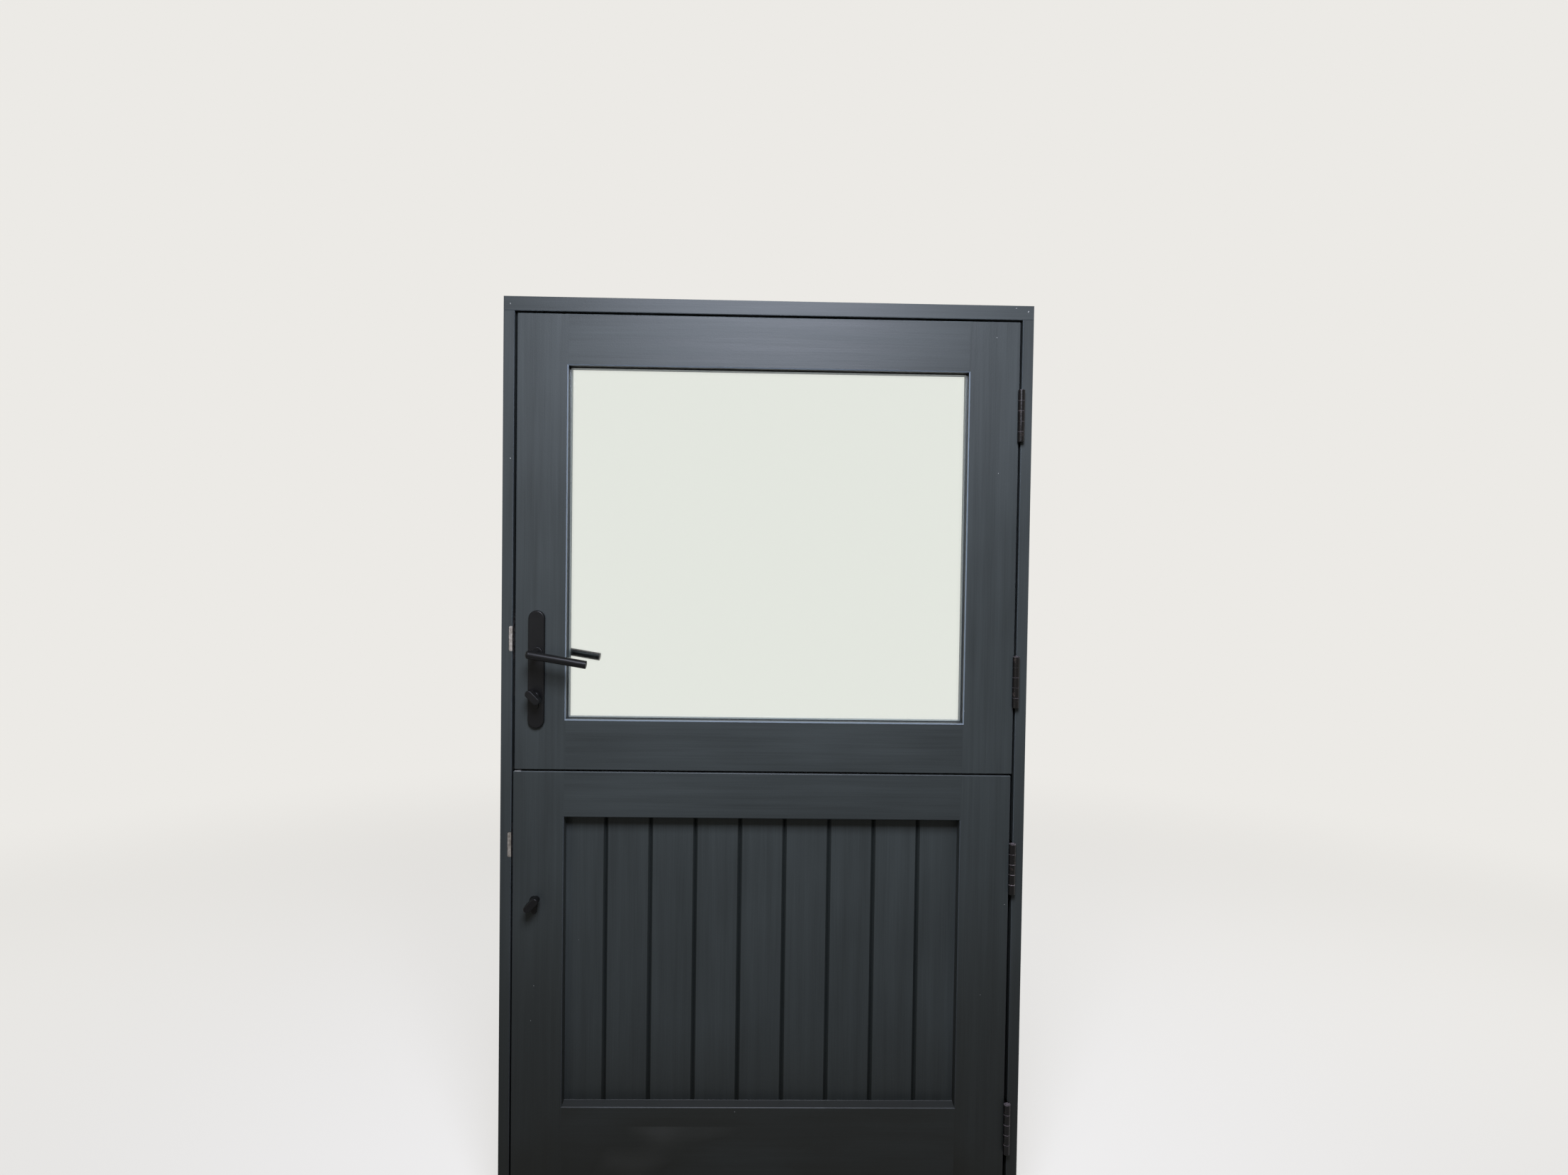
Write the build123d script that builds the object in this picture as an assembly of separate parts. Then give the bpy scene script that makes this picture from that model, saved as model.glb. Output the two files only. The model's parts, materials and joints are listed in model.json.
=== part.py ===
from build123d import *
import os
from math import cos, radians, sin

# A timber stable door in its frame: two leaves, one above the other, hung on one jamb.
# X runs to the right seen from the room, Y away from the room and Z up, in millimetres.
# The origin is the middle of the sill's underside. A depth is measured from the room face.

# Frame
frame_depth = 95.0
jamb_face = 20.0
head_face = 26.0
stop_width = 13.0
frame_arris = 1.0
frame_tenon_length = 15.0
frame_tenon_thickness = 10.0
frame_tenon_width = 50.0

# Sill
sill_height = 38.0
sill_upstand = 13.0
sill_upstand_width = 12.0
sill_nose = 20.0
sill_nose_top = 30.0
sill_nose_underside = 8.0
sill_drip_radius = 2.0
sill_drip_inset = 7.0

# Leaves
leaf_width = 926.0
leaf_thickness = 54.0
upper_leaf_height = 840.0
lower_leaf_height = 840.0
leaf_arris = 2.0
foot_gap = 5.0
meeting_gap = 3.0
head_gap = 4.0
upper_hinge_gap = 4.0
upper_lock_gap = 5.0
lower_hinge_gap = 6.0
leaf_to_stop = 4.0
stile_width = 94.0
top_rail_height = 94.0
upper_meeting_rail_height = 94.0
lower_meeting_rail_height = 85.0
bottom_rail_height = 209.0
tenon_length = 38.0
tenon_thickness = 16.0
tenon_shoulder = 15.0
joinery_clearance = 0.2

# Glazing
glass_lip = 14.0
rebate_width = 15.0
glass_edge_gap = 3.0
pane_thickness = 4.0
spacer_thickness = 16.0
spacer_show = 2.0
spacer_edge_gap = 2.0
opening_chamfer = 2.0
bead_splay = 5.0

# Boards of the lower panel
board_count = 9
board_thickness = 18.0
board_recess = 27.0
board_housing = 10.0
board_vee = 4.2
board_gap = 0.2
tongue_length = 8.0
tongue_thickness = 6.0
tongue_clearance = 0.3
panel_arris = 1.2

# Weatherboard
weatherboard_height = 55.0
weatherboard_projection = 38.0
weatherboard_top = 8.0
weatherboard_nose = 14.0
weatherboard_lift = 18.0
weatherboard_end_inset = 18.0
weatherboard_drip_radius = 2.5
weatherboard_drip_inset = 7.5

# Seals
seal_width = 9.0
seal_inset = 2.5
seal_gap = 0.3
seal_nose = 1.2
meeting_seal_head = 8.0
meeting_seal_stem = 3.6
meeting_seal_depth = 4.6
meeting_seal_inset = 20.0

# Butt hinges
hinge_length = 95.0
hinge_end_distance = 126.0
knuckle_count = 5
knuckle_radius = 6.3
knuckle_to_face = 0.7
knuckle_gap = 0.3
pin_radius = 3.0
pin_fit = 0.05
pin_tip_radius = 4.4
pin_tip_height = 1.2
pin_tip_face_radius = 3.1
flap_width = 34.0
flap_thickness = 2.5
flap_start = 0.3
flap_seat_clearance = 0.2
hinge_screw_count = 3
hinge_screw_end = 14.0
hinge_screw_near = 12.0
hinge_screw_far = 24.0

# Wood screws
screw_head_radius = 4.2
screw_shank_radius = 2.0
screw_length = 28.0
jamb_screw_cover = 3.0
screw_point = 5.0
pilot_clearance = 0.1
pilot_end_gap = 1.0

# Locks, the same case in both leaves
backset = 40.5
lever_height = 217.0
lock_spindle_to_cylinder = 79.0
lock_latch_above_spindle = 25.5
lock_bolt_below_spindle = 40.5
lower_cylinder_below_top = 242.0
case_thickness = 16.0
case_wall = 1.5
case_behind_axis = 20.0
case_above_latch = 17.0
case_below_cylinder = 28.0
case_clearance = 0.5
forend_width = 22.0
forend_thickness = 3.0
forend_overrun = 38.0
forend_screw_inset = 9.0
bolt_clearance = 0.3
latch_thickness = 11.0
latch_height = 20.0
latch_length = 40.0
latch_bevel = 9.0
latch_nose = 2.0
latch_tail_height = 8.0
latch_head_length = 22.0
latch_throw = 11.0
deadbolt_thickness = 11.0
deadbolt_height = 28.0
deadbolt_length = 46.0
deadbolt_throw = 20.0
deadbolt_edge = 0.8
bolt_rest_inset = 0.3

# Keeps, each one folded plate let into the lock jamb
keep_thickness = 2.0
keep_plate_width = 22.0
keep_plate_margin = 12.0
keep_base_height = 78.0
keep_base_start = 8.0
keep_lip_height = 46.0
keep_lip_width = 6.3
keep_lip_radius = 2.5
keep_hole_clearance = 1.5
keep_seat_clearance = 0.3
keep_screw_inset = 8.0
bolt_pocket_clearance = 2.0
bolt_pocket_end_gap = 1.0

# Cylinders and thumb-turns
cylinder_radius = 8.5
cylinder_height = 33.0
cylinder_leg_width = 10.0
cylinder_proud = 1.5
cylinder_clearance = 0.3
turn_stem_radius = 5.0
turn_fit = 0.05
turn_collar_radius = 7.5
turn_collar_length = 6.0
turn_collar_gap = 0.3
turn_collar_edge = 1.5
turn_neck_radius = 5.5
turn_wing_length = 32.0
turn_wing_thickness = 13.5
turn_wing_depth = 19.0
turn_neck_length = 4.0
turn_neck_lap = 4.0
turn_wing_edge = 2.0
turn_tilt = 45.0
cam_radius = 15.0
cam_width = 9.0
cam_thickness = 9.0
cam_clearance = 0.5
keyway_width = 1.6
keyway_height = 8.0
keyway_depth = 12.0

# Lever set
plate_width = 30.0
plate_height = 217.5
plate_thickness = 8.0
plate_edge_radius = 2.5
plate_centre_below_spindle = 30.3
boss_radius = 12.0
boss_height = 3.0
boss_edge = 1.0
lever_radius = 7.4
lever_neck_radius = 7.0
lever_stand_off = 50.0
lever_length = 101.0
lever_heel = 9.5
lever_heel_radius = 5.0
lever_droop = 9.3
lever_journal_fit = 0.05
lever_end_radius = 1.2
lever_journal_start = 1.0
spindle_side = 8.0
spindle_fit = 0.1
spindle_hole_clearance = 2.0
follower_radius = 10.0
follower_thickness = 11.0
plate_bolt_inset = 17.5
plate_bolt_radius = 2.5
plate_pillar_radius = 4.0
plate_pillar_length = 20.0
plate_pillar_bore = 2.0
plate_bolt_head_radius = 4.5
plate_bolt_head_depth = 2.5
plate_bolt_end_gap = 2.0

# Places worked out from the sizes above
room_y = -frame_depth / 2
opening_width = leaf_width + upper_hinge_gap + upper_lock_gap
opening_left = -opening_width / 2
opening_right = opening_width / 2
frame_left = opening_left - jamb_face
frame_right = opening_right + jamb_face
stop_depth = leaf_thickness + leaf_to_stop
lower_leaf_bottom = sill_height + foot_gap
lower_leaf_top = lower_leaf_bottom + lower_leaf_height
upper_leaf_bottom = lower_leaf_top + meeting_gap
upper_leaf_top = upper_leaf_bottom + upper_leaf_height
head_underside = upper_leaf_top + head_gap
frame_top = head_underside + head_face
hinge_axis_x = opening_right - upper_hinge_gap / 2
hinge_axis_stand_off = knuckle_radius + knuckle_to_face
flap_offset = upper_hinge_gap / 2
jamb_screw_length = jamb_face - jamb_screw_cover
upper_right = opening_right - upper_hinge_gap
upper_left = upper_right - leaf_width
lower_right = opening_right - lower_hinge_gap
lower_left = lower_right - leaf_width
glass_bottom = upper_leaf_bottom + upper_meeting_rail_height
glass_top = upper_leaf_top - top_rail_height
panel_bottom = lower_leaf_bottom + bottom_rail_height
panel_top = lower_leaf_top - lower_meeting_rail_height
upper_spindle_z = upper_leaf_bottom + lever_height
upper_cylinder_z = upper_spindle_z - lock_spindle_to_cylinder
lower_cylinder_z = lower_leaf_top - lower_cylinder_below_top
lower_spindle_z = lower_cylinder_z + lock_spindle_to_cylinder
case_depth_start = (leaf_thickness - case_thickness) / 2
mid_depth = leaf_thickness / 2
case_depth = backset + case_behind_axis
keep_plate_start = mid_depth - keep_plate_width / 2
plate_bolt_spacing = plate_height - 2 * plate_bolt_inset
pane_2_start = glass_lip + pane_thickness + spacer_thickness
bead_start = pane_2_start + pane_thickness
hinge_bottoms = (
    upper_leaf_top - hinge_end_distance - hinge_length,
    upper_leaf_bottom + hinge_end_distance,
    lower_leaf_top - hinge_end_distance - hinge_length,
    lower_leaf_bottom + hinge_end_distance,
)


def block(x0, x1, d0, d1, z0, z1):
    """A box between two corners, with depths measured from the room face."""
    centre = ((x0 + x1) / 2, room_y + (d0 + d1) / 2, (z0 + z1) / 2)
    return Pos(*centre) * Box(x1 - x0, d1 - d0, z1 - z0)


def length_along_x(outline, x0, x1):
    """A moulding along X from an outline of (depth, height) points."""
    points = [(room_y + depth, z) for depth, z in outline]
    face = Plane.YZ.offset(x0) * Polygon(*points, align=None)
    return extrude(face, amount=x1 - x0, dir=(1, 0, 0))


def length_along_z(outline, z0, z1):
    """A moulding along Z from an outline of (x, depth) points."""
    points = [(x, room_y + depth) for x, depth in outline]
    face = Plane.XY.offset(z0) * Polygon(*points, align=None)
    return extrude(face, amount=z1 - z0, dir=(0, 0, 1))


def depth_plane(x, z, depth):
    """A plane across the depth, its local axes along X and Z and its normal to the room."""
    return Plane(origin=(x, room_y + depth, z), x_dir=(1, 0, 0), z_dir=(0, -1, 0))


def through(face, x, z, d0, d1):
    """A flat face drawn in X and Z, carried through the depth from d0 to d1."""
    return extrude(depth_plane(x, z, d1) * face, amount=d1 - d0, dir=(0, -1, 0))


def bar_through(x, z, radius, d0, d1):
    """A round bar or bore along the depth."""
    return through(Circle(radius), x, z, d0, d1)


def post(x, depth, radius, z0, z1):
    """An upright round bar or bore."""
    return Pos(x, room_y + depth, (z0 + z1) / 2) * Cylinder(radius, z1 - z0)


def wood_screw(head_radius, shank_radius, length, head_depth):
    """A countersunk screw on +Z, with the head's face at the origin."""
    shank_end = -(length - screw_point)
    outline = [
        (0, 0),
        (head_radius, 0),
        (shank_radius, -head_depth),
        (shank_radius, shank_end),
        (0, -length),
    ]
    return revolve(Plane.XZ * make_face(Polyline(*outline, close=True)), Axis.Z)


def screw_hole(head_depth, length=screw_length):
    """The countersunk pilot hole of a wood screw, a little larger all round."""
    grow = pilot_clearance
    return wood_screw(
        screw_head_radius + grow, screw_shank_radius + grow, length + pilot_end_gap, head_depth
    )


def flap_screw_length(side):
    """The jamb's screws are shorter than those in the leaf's edge."""
    return jamb_screw_length if side > 0 else screw_length


def facing(x, depth, z, direction):
    """A place whose +Z points along +X or -X, for a screw driven the other way."""
    return Pos(x, room_y + depth, z) * Rot(0, 90 * direction, 0)


# Frame members


def sill_profile():
    """The sill's section, with its upstand behind the leaf and its weathered slope."""
    nose = frame_depth + sill_nose
    return [
        (0, 0),
        (frame_depth, 0),
        (frame_depth, sill_nose_underside),
        (nose, sill_nose_underside),
        (nose, sill_nose_top),
        (stop_depth + sill_upstand_width, sill_height + sill_upstand),
        (stop_depth, sill_height + sill_upstand),
        (stop_depth, sill_height),
        (0, sill_height),
    ]


def make_sill():
    body = length_along_x(sill_profile(), frame_left, frame_right)
    for x0, x1 in ((frame_left, opening_left), (opening_right, frame_right)):
        above = sill_height + sill_upstand + 1
        body -= block(x0, x1, -1, frame_depth, sill_height, above)
        body += block(x0, x1, 0, frame_depth, sill_nose_underside, sill_height)
    drip_depth = frame_depth + sill_nose - sill_drip_inset
    drip = Pos(0, room_y + drip_depth, sill_nose_underside) * Rot(0, 90, 0)
    return body - drip * Cylinder(sill_drip_radius, frame_right - frame_left + 2)


def jamb_tenon(side, z0, z1, grow):
    """The stub tenon on a jamb's end, or its mortice when grown by a clearance."""
    middle = side * (opening_width + jamb_face) / 2
    half = frame_tenon_thickness / 2 + grow
    depth0 = (frame_depth - frame_tenon_width) / 2 - grow
    depth1 = (frame_depth + frame_tenon_width) / 2 + grow
    return block(middle - half, middle + half, depth0, depth1, z0 - grow, z1 + grow)


def jamb_outline(side):
    """A jamb's section: its room face with eased arrises, and the stop behind the leaves."""
    inner = side * opening_width / 2
    outer = side * (opening_width / 2 + jamb_face)
    stop = side * (opening_width / 2 - stop_width)
    ease = side * frame_arris
    return [
        (inner + ease, 0),
        (outer, 0),
        (outer, frame_depth),
        (stop, frame_depth),
        (stop, stop_depth),
        (inner, stop_depth),
        (inner, frame_arris),
    ]


def make_jamb(side, sill):
    body = length_along_z(jamb_outline(side), sill_nose_underside, head_underside)
    inner = side * (opening_width / 2)
    reach = side * (opening_width / 2 - stop_width - 1)
    x0, x1 = sorted((inner, reach))
    above_stop = head_underside - stop_width
    body -= block(x0, x1, stop_depth - 1, frame_depth + 1, above_stop, head_underside + 1)
    body -= sill
    foot = side * (opening_width / 2 + jamb_face / 2)
    reach = jamb_face / 2 + 1
    body -= block(foot - reach, foot + reach, -1, frame_depth + 1, 0, sill_height)
    body += jamb_tenon(side, sill_height - frame_tenon_length, sill_height, 0)
    return body + jamb_tenon(side, head_underside, head_underside + frame_tenon_length, 0)


def make_head():
    outline = [
        (0, head_underside + frame_arris),
        (frame_arris, head_underside),
        (stop_depth, head_underside),
        (frame_depth, head_underside),
        (frame_depth, frame_top),
        (0, frame_top),
    ]
    body = length_along_x(outline, frame_left, frame_right)
    stop_bottom = head_underside - stop_width
    body += block(opening_left, opening_right, stop_depth, frame_depth, stop_bottom, head_underside)
    for side in (-1, 1):
        top = head_underside + frame_tenon_length
        body -= jamb_tenon(side, head_underside, top, joinery_clearance)
    return body


def ring(x0, x1, z0, z1, width, d0, d1):
    """A rectangular frame of one width, in the plane of the door."""
    outer = block(x0, x1, d0, d1, z0, z1)
    return outer - block(x0 + width, x1 - width, d0 - 1, d1 + 1, z0 + width, z1 - width)


def make_frame_seal():
    """The seal on the stops, on all four sides, against which both leaves close."""
    half = opening_width / 2 - seal_inset
    bottom = sill_height + seal_inset
    top = head_underside - seal_inset
    d0 = leaf_thickness + seal_gap
    body = ring(-half, half, bottom, top, seal_width, d0 + seal_nose, stop_depth)
    inset = seal_width / 4
    nose = ring(
        -half + inset,
        half - inset,
        bottom + inset,
        top - inset,
        seal_width - 2 * inset,
        d0,
        d0 + seal_nose,
    )
    return body + nose


# Hinges


def knuckle_spans(bottom, first):
    """The heights of every other knuckle, counted from the bottom."""
    pitch = (hinge_length + knuckle_gap) / knuckle_count
    spans = []
    for i in range(first, knuckle_count, 2):
        start = bottom + i * pitch
        spans.append((start, start + pitch - knuckle_gap))
    return spans


def hinge_screw_places(bottom):
    """Heights and depths of one flap's screws, staggered across its width."""
    run = hinge_length - 2 * hinge_screw_end
    places = []
    for i in range(hinge_screw_count):
        height = bottom + hinge_screw_end + run * i / (hinge_screw_count - 1)
        depth = hinge_screw_near if i % 2 else hinge_screw_far
        places.append((height, depth))
    return places


def flap_faces(side):
    """The x of a flap's face in the gap and of its seat in the timber."""
    return hinge_axis_x + side * flap_offset, hinge_axis_x + side * (flap_offset + flap_thickness)


def make_flap(bottom, side):
    """One flap with its knuckles: side 1 is fixed to the jamb, side -1 to the leaf."""
    face, seat = flap_faces(side)
    x0, x1 = sorted((face, seat))
    flap = block(x0, x1, flap_start, flap_width, bottom, bottom + hinge_length)
    spans = knuckle_spans(bottom, 0 if side > 0 else 1)
    for z0, z1 in spans:
        flap += block(x0, x1, -hinge_axis_stand_off, flap_start + 1, z0, z1)
        flap += post(hinge_axis_x, -hinge_axis_stand_off, knuckle_radius, z0, z1)
    top = bottom + hinge_length
    flap -= post(hinge_axis_x, -hinge_axis_stand_off, pin_radius + pin_fit, bottom - 1, top + 1)
    for height, depth in hinge_screw_places(bottom):
        flap -= facing(face, depth, height, -side) * screw_hole(flap_thickness)
    return flap


def make_pin(bottom):
    """A hinge pin with a low domed tip at each end."""
    half = hinge_length / 2
    outline = [
        (0, -half - pin_tip_height),
        (pin_tip_face_radius, -half - pin_tip_height),
        (pin_tip_radius, -half - pin_tip_height / 2),
        (pin_tip_radius, -half),
        (pin_radius, -half),
        (pin_radius, half),
        (pin_tip_radius, half),
        (pin_tip_radius, half + pin_tip_height / 2),
        (pin_tip_face_radius, half + pin_tip_height),
        (0, half + pin_tip_height),
    ]
    pin = revolve(Plane.XZ * make_face(Polyline(*outline, close=True)), Axis.Z)
    return Pos(hinge_axis_x, room_y - hinge_axis_stand_off, bottom + half) * pin


def flap_seat(bottom, side):
    """The shallow recess that a flap is let into, open at the room face and at the gap."""
    x0, x1 = sorted((hinge_axis_x, flap_faces(side)[1]))
    z0 = bottom - flap_seat_clearance
    z1 = bottom + hinge_length + flap_seat_clearance
    return block(x0, x1, -1, flap_width + flap_seat_clearance, z0, z1)


def hinge_screws(bottom, side):
    face = flap_faces(side)[0]
    length = flap_screw_length(side)
    screw = wood_screw(screw_head_radius, screw_shank_radius, length, flap_thickness)
    places = hinge_screw_places(bottom)
    return [facing(face, depth, height, -side) * screw for height, depth in places]


def hinge_cuts(bottoms, side):
    """What the hinges take out of the timber: seats and screw holes."""
    face = flap_faces(side)[0]
    cuts = []
    for bottom in bottoms:
        cuts.append(flap_seat(bottom, side))
        hole = screw_hole(flap_thickness, flap_screw_length(side))
        for height, depth in hinge_screw_places(bottom):
            cuts.append(facing(face, depth, height, -side) * hole)
    return cuts


# Keeps


def latch_z(spindle_z):
    return spindle_z + lock_latch_above_spindle


def bolt_z(spindle_z):
    return spindle_z - lock_bolt_below_spindle


def keep_screw_heights(spindle_z):
    low = bolt_z(spindle_z) - deadbolt_height / 2 - keep_plate_margin - keep_screw_inset
    high = latch_z(spindle_z) + keep_base_height / 2 + keep_screw_inset
    return low, high


def keep_blank(spindle_z, grow):
    """The folded keep without its holes, or its seat when grown by a clearance."""
    low, high = keep_screw_heights(spindle_z)
    low -= keep_screw_inset + grow
    high += keep_screw_inset + grow
    middle = latch_z(spindle_z)
    x0 = opening_left - keep_thickness
    x1 = opening_left
    plate_end = keep_plate_start + keep_plate_width + grow
    body = block(x0, x1, keep_plate_start - grow, plate_end, low, high)
    half = keep_base_height / 2 + grow
    body += block(x0, x1, keep_base_start - grow, keep_plate_start, middle - half, middle + half)
    half = keep_lip_height / 2 + grow
    body += block(x0, x1, 0, keep_base_start, middle - half, middle + half)
    lip_x0 = opening_left - keep_lip_width - grow
    lip = block(lip_x0, x1, 0, keep_thickness, middle - half, middle + half)
    corners = lip.edges().filter_by(Axis.Y).group_by(Axis.X)[0]
    return body + fillet(corners, keep_lip_radius)


def bolt_hole(z, height, thickness, x0, x1, grow):
    """A rectangular hole for a bolt, larger than it by a clearance all round."""
    half_height = height / 2 + grow
    half_depth = thickness / 2 + grow
    return block(
        x0, x1, mid_depth - half_depth, mid_depth + half_depth, z - half_height, z + half_height
    )


def bolt_holes(spindle_z, x0, x1, grow):
    latch = bolt_hole(latch_z(spindle_z), latch_height, latch_thickness, x0, x1, grow)
    return latch, bolt_hole(bolt_z(spindle_z), deadbolt_height, deadbolt_thickness, x0, x1, grow)


def make_keep(spindle_z):
    keep = keep_blank(spindle_z, 0)
    x0 = opening_left - keep_thickness - 1
    for hole in bolt_holes(spindle_z, x0, opening_left + 1, keep_hole_clearance):
        keep -= hole
    depth = keep_plate_start + keep_plate_width / 2
    for height in keep_screw_heights(spindle_z):
        keep -= facing(opening_left, depth, height, 1) * screw_hole(keep_thickness)
    return keep


def keep_screws(spindle_z):
    screw = wood_screw(screw_head_radius, screw_shank_radius, jamb_screw_length, keep_thickness)
    depth = keep_plate_start + keep_plate_width / 2
    return [facing(opening_left, depth, z, 1) * screw for z in keep_screw_heights(spindle_z)]


def keep_cuts(left, spindle_z):
    """What a keep takes out of the lock jamb: its seat, the bolt pockets and screw holes."""
    cuts = [keep_blank(spindle_z, keep_seat_clearance)]
    rest = left + bolt_rest_inset
    grow = bolt_pocket_clearance
    latch_end = rest - latch_throw - bolt_pocket_end_gap
    bolt_end = rest - deadbolt_throw - bolt_pocket_end_gap
    x1 = opening_left + 1
    middle = latch_z(spindle_z)
    cuts.append(bolt_hole(middle, latch_height, latch_thickness, latch_end, x1, grow))
    middle = bolt_z(spindle_z)
    cuts.append(bolt_hole(middle, deadbolt_height, deadbolt_thickness, bolt_end, x1, grow))
    depth = keep_plate_start + keep_plate_width / 2
    hole = screw_hole(keep_thickness, jamb_screw_length)
    for height in keep_screw_heights(spindle_z):
        cuts.append(facing(opening_left, depth, height, 1) * hole)
    return cuts


# Leaf joinery


def leaf_envelope(left, bottom, height):
    """The whole leaf as one board with softened arrises, which trims its members."""
    body = block(left, left + leaf_width, 0, leaf_thickness, bottom, bottom + height)
    return fillet(body.edges(), leaf_arris)


def rail_tenon(shoulder_x, direction, z0, z1, grow):
    """A stub tenon from a rail's shoulder, or its mortice when grown by a clearance."""
    reach = shoulder_x + direction * (tenon_length + grow)
    x0, x1 = sorted((shoulder_x, reach))
    half = tenon_thickness / 2 + grow
    low = z0 + tenon_shoulder - grow
    high = z1 - tenon_shoulder + grow
    return block(x0, x1, mid_depth - half, mid_depth + half, low, high)


def make_rail(left, z0, z1):
    shoulder_0 = left + stile_width
    shoulder_1 = left + leaf_width - stile_width
    rail = block(shoulder_0, shoulder_1, 0, leaf_thickness, z0, z1)
    rail += rail_tenon(shoulder_0, -1, z0, z1, 0)
    return rail + rail_tenon(shoulder_1, 1, z0, z1, 0)


def make_stile(left, side, bottom, height, rails):
    """A stile with the mortices of its two rails: side -1 is the lock stile."""
    outer = left if side < 0 else left + leaf_width
    inner = outer - side * stile_width
    x0, x1 = sorted((outer, inner))
    stile = block(x0, x1, 0, leaf_thickness, bottom, bottom + height)
    for z0, z1 in rails:
        stile -= rail_tenon(inner, side, z0, z1, joinery_clearance)
    return stile


def glass_rebate():
    """The pocket for the glass and its beads, open to the outside."""
    return block(
        upper_left + stile_width - rebate_width,
        upper_right - stile_width + rebate_width,
        glass_lip,
        leaf_thickness + 1,
        glass_bottom - rebate_width,
        glass_top + rebate_width,
    )


def opening_funnel(left, low, high, size):
    """The chamfer around the room side of a leaf's opening, mitred at its corners."""
    width = leaf_width - 2 * stile_width
    plane = depth_plane(left + leaf_width / 2, (low + high) / 2, size)
    return extrude(plane * Rectangle(width, high - low), amount=size, taper=-45)


def panel_groove():
    """The groove around the lower panel that houses the boards' edges."""
    grow = joinery_clearance
    return block(
        lower_left + stile_width - board_housing - grow,
        lower_right - stile_width + board_housing + grow,
        board_recess - grow,
        board_recess + board_thickness + grow,
        panel_bottom - board_housing - grow,
        panel_top + board_housing + grow,
    )


# Boards, beads and glass


def board_pitch():
    return (leaf_width - 2 * stile_width + 2 * board_housing) / board_count


def board_outline(index):
    """A board's section in (x, depth): V-jointed on both faces, tongue right, groove left."""
    start = lower_left + stile_width - board_housing + index * board_pitch()
    end = start + board_pitch()
    front = board_recess
    back = board_recess + board_thickness
    middle = (front + back) / 2
    tongue = tongue_thickness / 2
    groove = tongue + tongue_clearance
    vee = board_vee
    outline = [(start, back), (start, front)]
    if index > 0:
        start += board_gap / 2
        groove_end = start + tongue_length + tongue_clearance
        outline = [
            (start + vee, back),
            (start, back - vee),
            (start, middle + groove),
            (groove_end, middle + groove),
            (groove_end, middle - groove),
            (start, middle - groove),
            (start, front + vee),
            (start + vee, front),
        ]
    if index == board_count - 1:
        return outline + [(end, front), (end, back)]
    end -= board_gap / 2
    return outline + [
        (end - vee, front),
        (end, front + vee),
        (end, middle - tongue),
        (end + tongue_length, middle - tongue),
        (end + tongue_length, middle + tongue),
        (end, middle + tongue),
        (end, back - vee),
        (end - vee, back),
    ]


def make_board(index):
    return length_along_z(board_outline(index), panel_bottom - board_housing, panel_top + board_housing)


def glass_edges(edge_gap):
    """The glass unit's outline: left, right, bottom and top, inside the rebate."""
    grow = rebate_width - edge_gap
    left = upper_left + stile_width - grow
    right = upper_right - stile_width + grow
    return left, right, glass_bottom - grow, glass_top + grow


def make_pane(start):
    left, right, bottom, top = glass_edges(glass_edge_gap)
    return block(left, right, start, start + pane_thickness, bottom, top)


def make_spacer():
    inset = glass_edge_gap + spacer_edge_gap
    left, right, bottom, top = glass_edges(inset)
    width = rebate_width - inset + spacer_show
    return ring(left, right, bottom, top, width, glass_lip + pane_thickness, pane_2_start)


def make_bead(place):
    """One outside bead, mitred at both ends and splayed towards the glass."""
    x0 = upper_left + stile_width
    x1 = upper_right - stile_width
    z0 = glass_bottom
    z1 = glass_top
    inner = {
        "left": ((x0, z0), (x0, z1)),
        "right": ((x1, z1), (x1, z0)),
        "top": ((x0, z1), (x1, z1)),
        "bottom": ((x1, z0), (x0, z0)),
    }[place]
    grow = rebate_width - joinery_clearance
    corners = []
    for x, z in inner:
        corners.append((x + (grow if x == x1 else -grow), z + (grow if z == z1 else -grow)))
    outline = [inner[0], corners[0], corners[1], inner[1]]
    bead = through(Polygon(*outline, align=None), 0, 0, bead_start, leaf_thickness)
    plane = depth_plane((x0 + x1) / 2, (z0 + z1) / 2, leaf_thickness - bead_splay).rotated((180, 0, 0))
    return bead - extrude(plane * Rectangle(x1 - x0, z1 - z0), amount=bead_splay + 1, taper=-45)


def make_weatherboard():
    """The sloping board across the foot of the lower leaf, with a drip groove below."""
    low = lower_leaf_bottom + weatherboard_lift
    high = low + weatherboard_height
    face = leaf_thickness
    nose = leaf_thickness + weatherboard_projection
    outline = [
        (face, low),
        (nose, low),
        (nose, low + weatherboard_nose),
        (face + weatherboard_top, high),
        (face, high),
    ]
    x0 = lower_left + weatherboard_end_inset
    x1 = lower_right - weatherboard_end_inset
    board = length_along_x(outline, x0, x1)
    drip = Pos((x0 + x1) / 2, room_y + nose - weatherboard_drip_inset, low) * Rot(0, 90, 0)
    return board - drip * Cylinder(weatherboard_drip_radius, x1 - x0 + 2)


def meeting_seal_outline(grow):
    half = meeting_seal_stem / 2 + grow
    low = lower_leaf_top - meeting_seal_depth - grow
    return mid_depth - half, mid_depth + half, low


def make_meeting_seal():
    """A T-section seal standing in the top edge of the lower leaf."""
    d0, d1, low = meeting_seal_outline(0)
    x0 = lower_left + meeting_seal_inset
    x1 = lower_right - meeting_seal_inset
    half = meeting_seal_head / 2
    top = upper_leaf_bottom - seal_gap
    head = block(x0, x1, mid_depth - half, mid_depth + half, lower_leaf_top, top)
    return head + block(x0, x1, d0, d1, low, lower_leaf_top)


def meeting_seal_groove():
    d0, d1, low = meeting_seal_outline(joinery_clearance)
    x0 = lower_left + meeting_seal_inset - joinery_clearance
    x1 = lower_right - meeting_seal_inset + joinery_clearance
    return block(x0, x1, d0, d1, low, lower_leaf_top + 1)


# Locks


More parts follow.
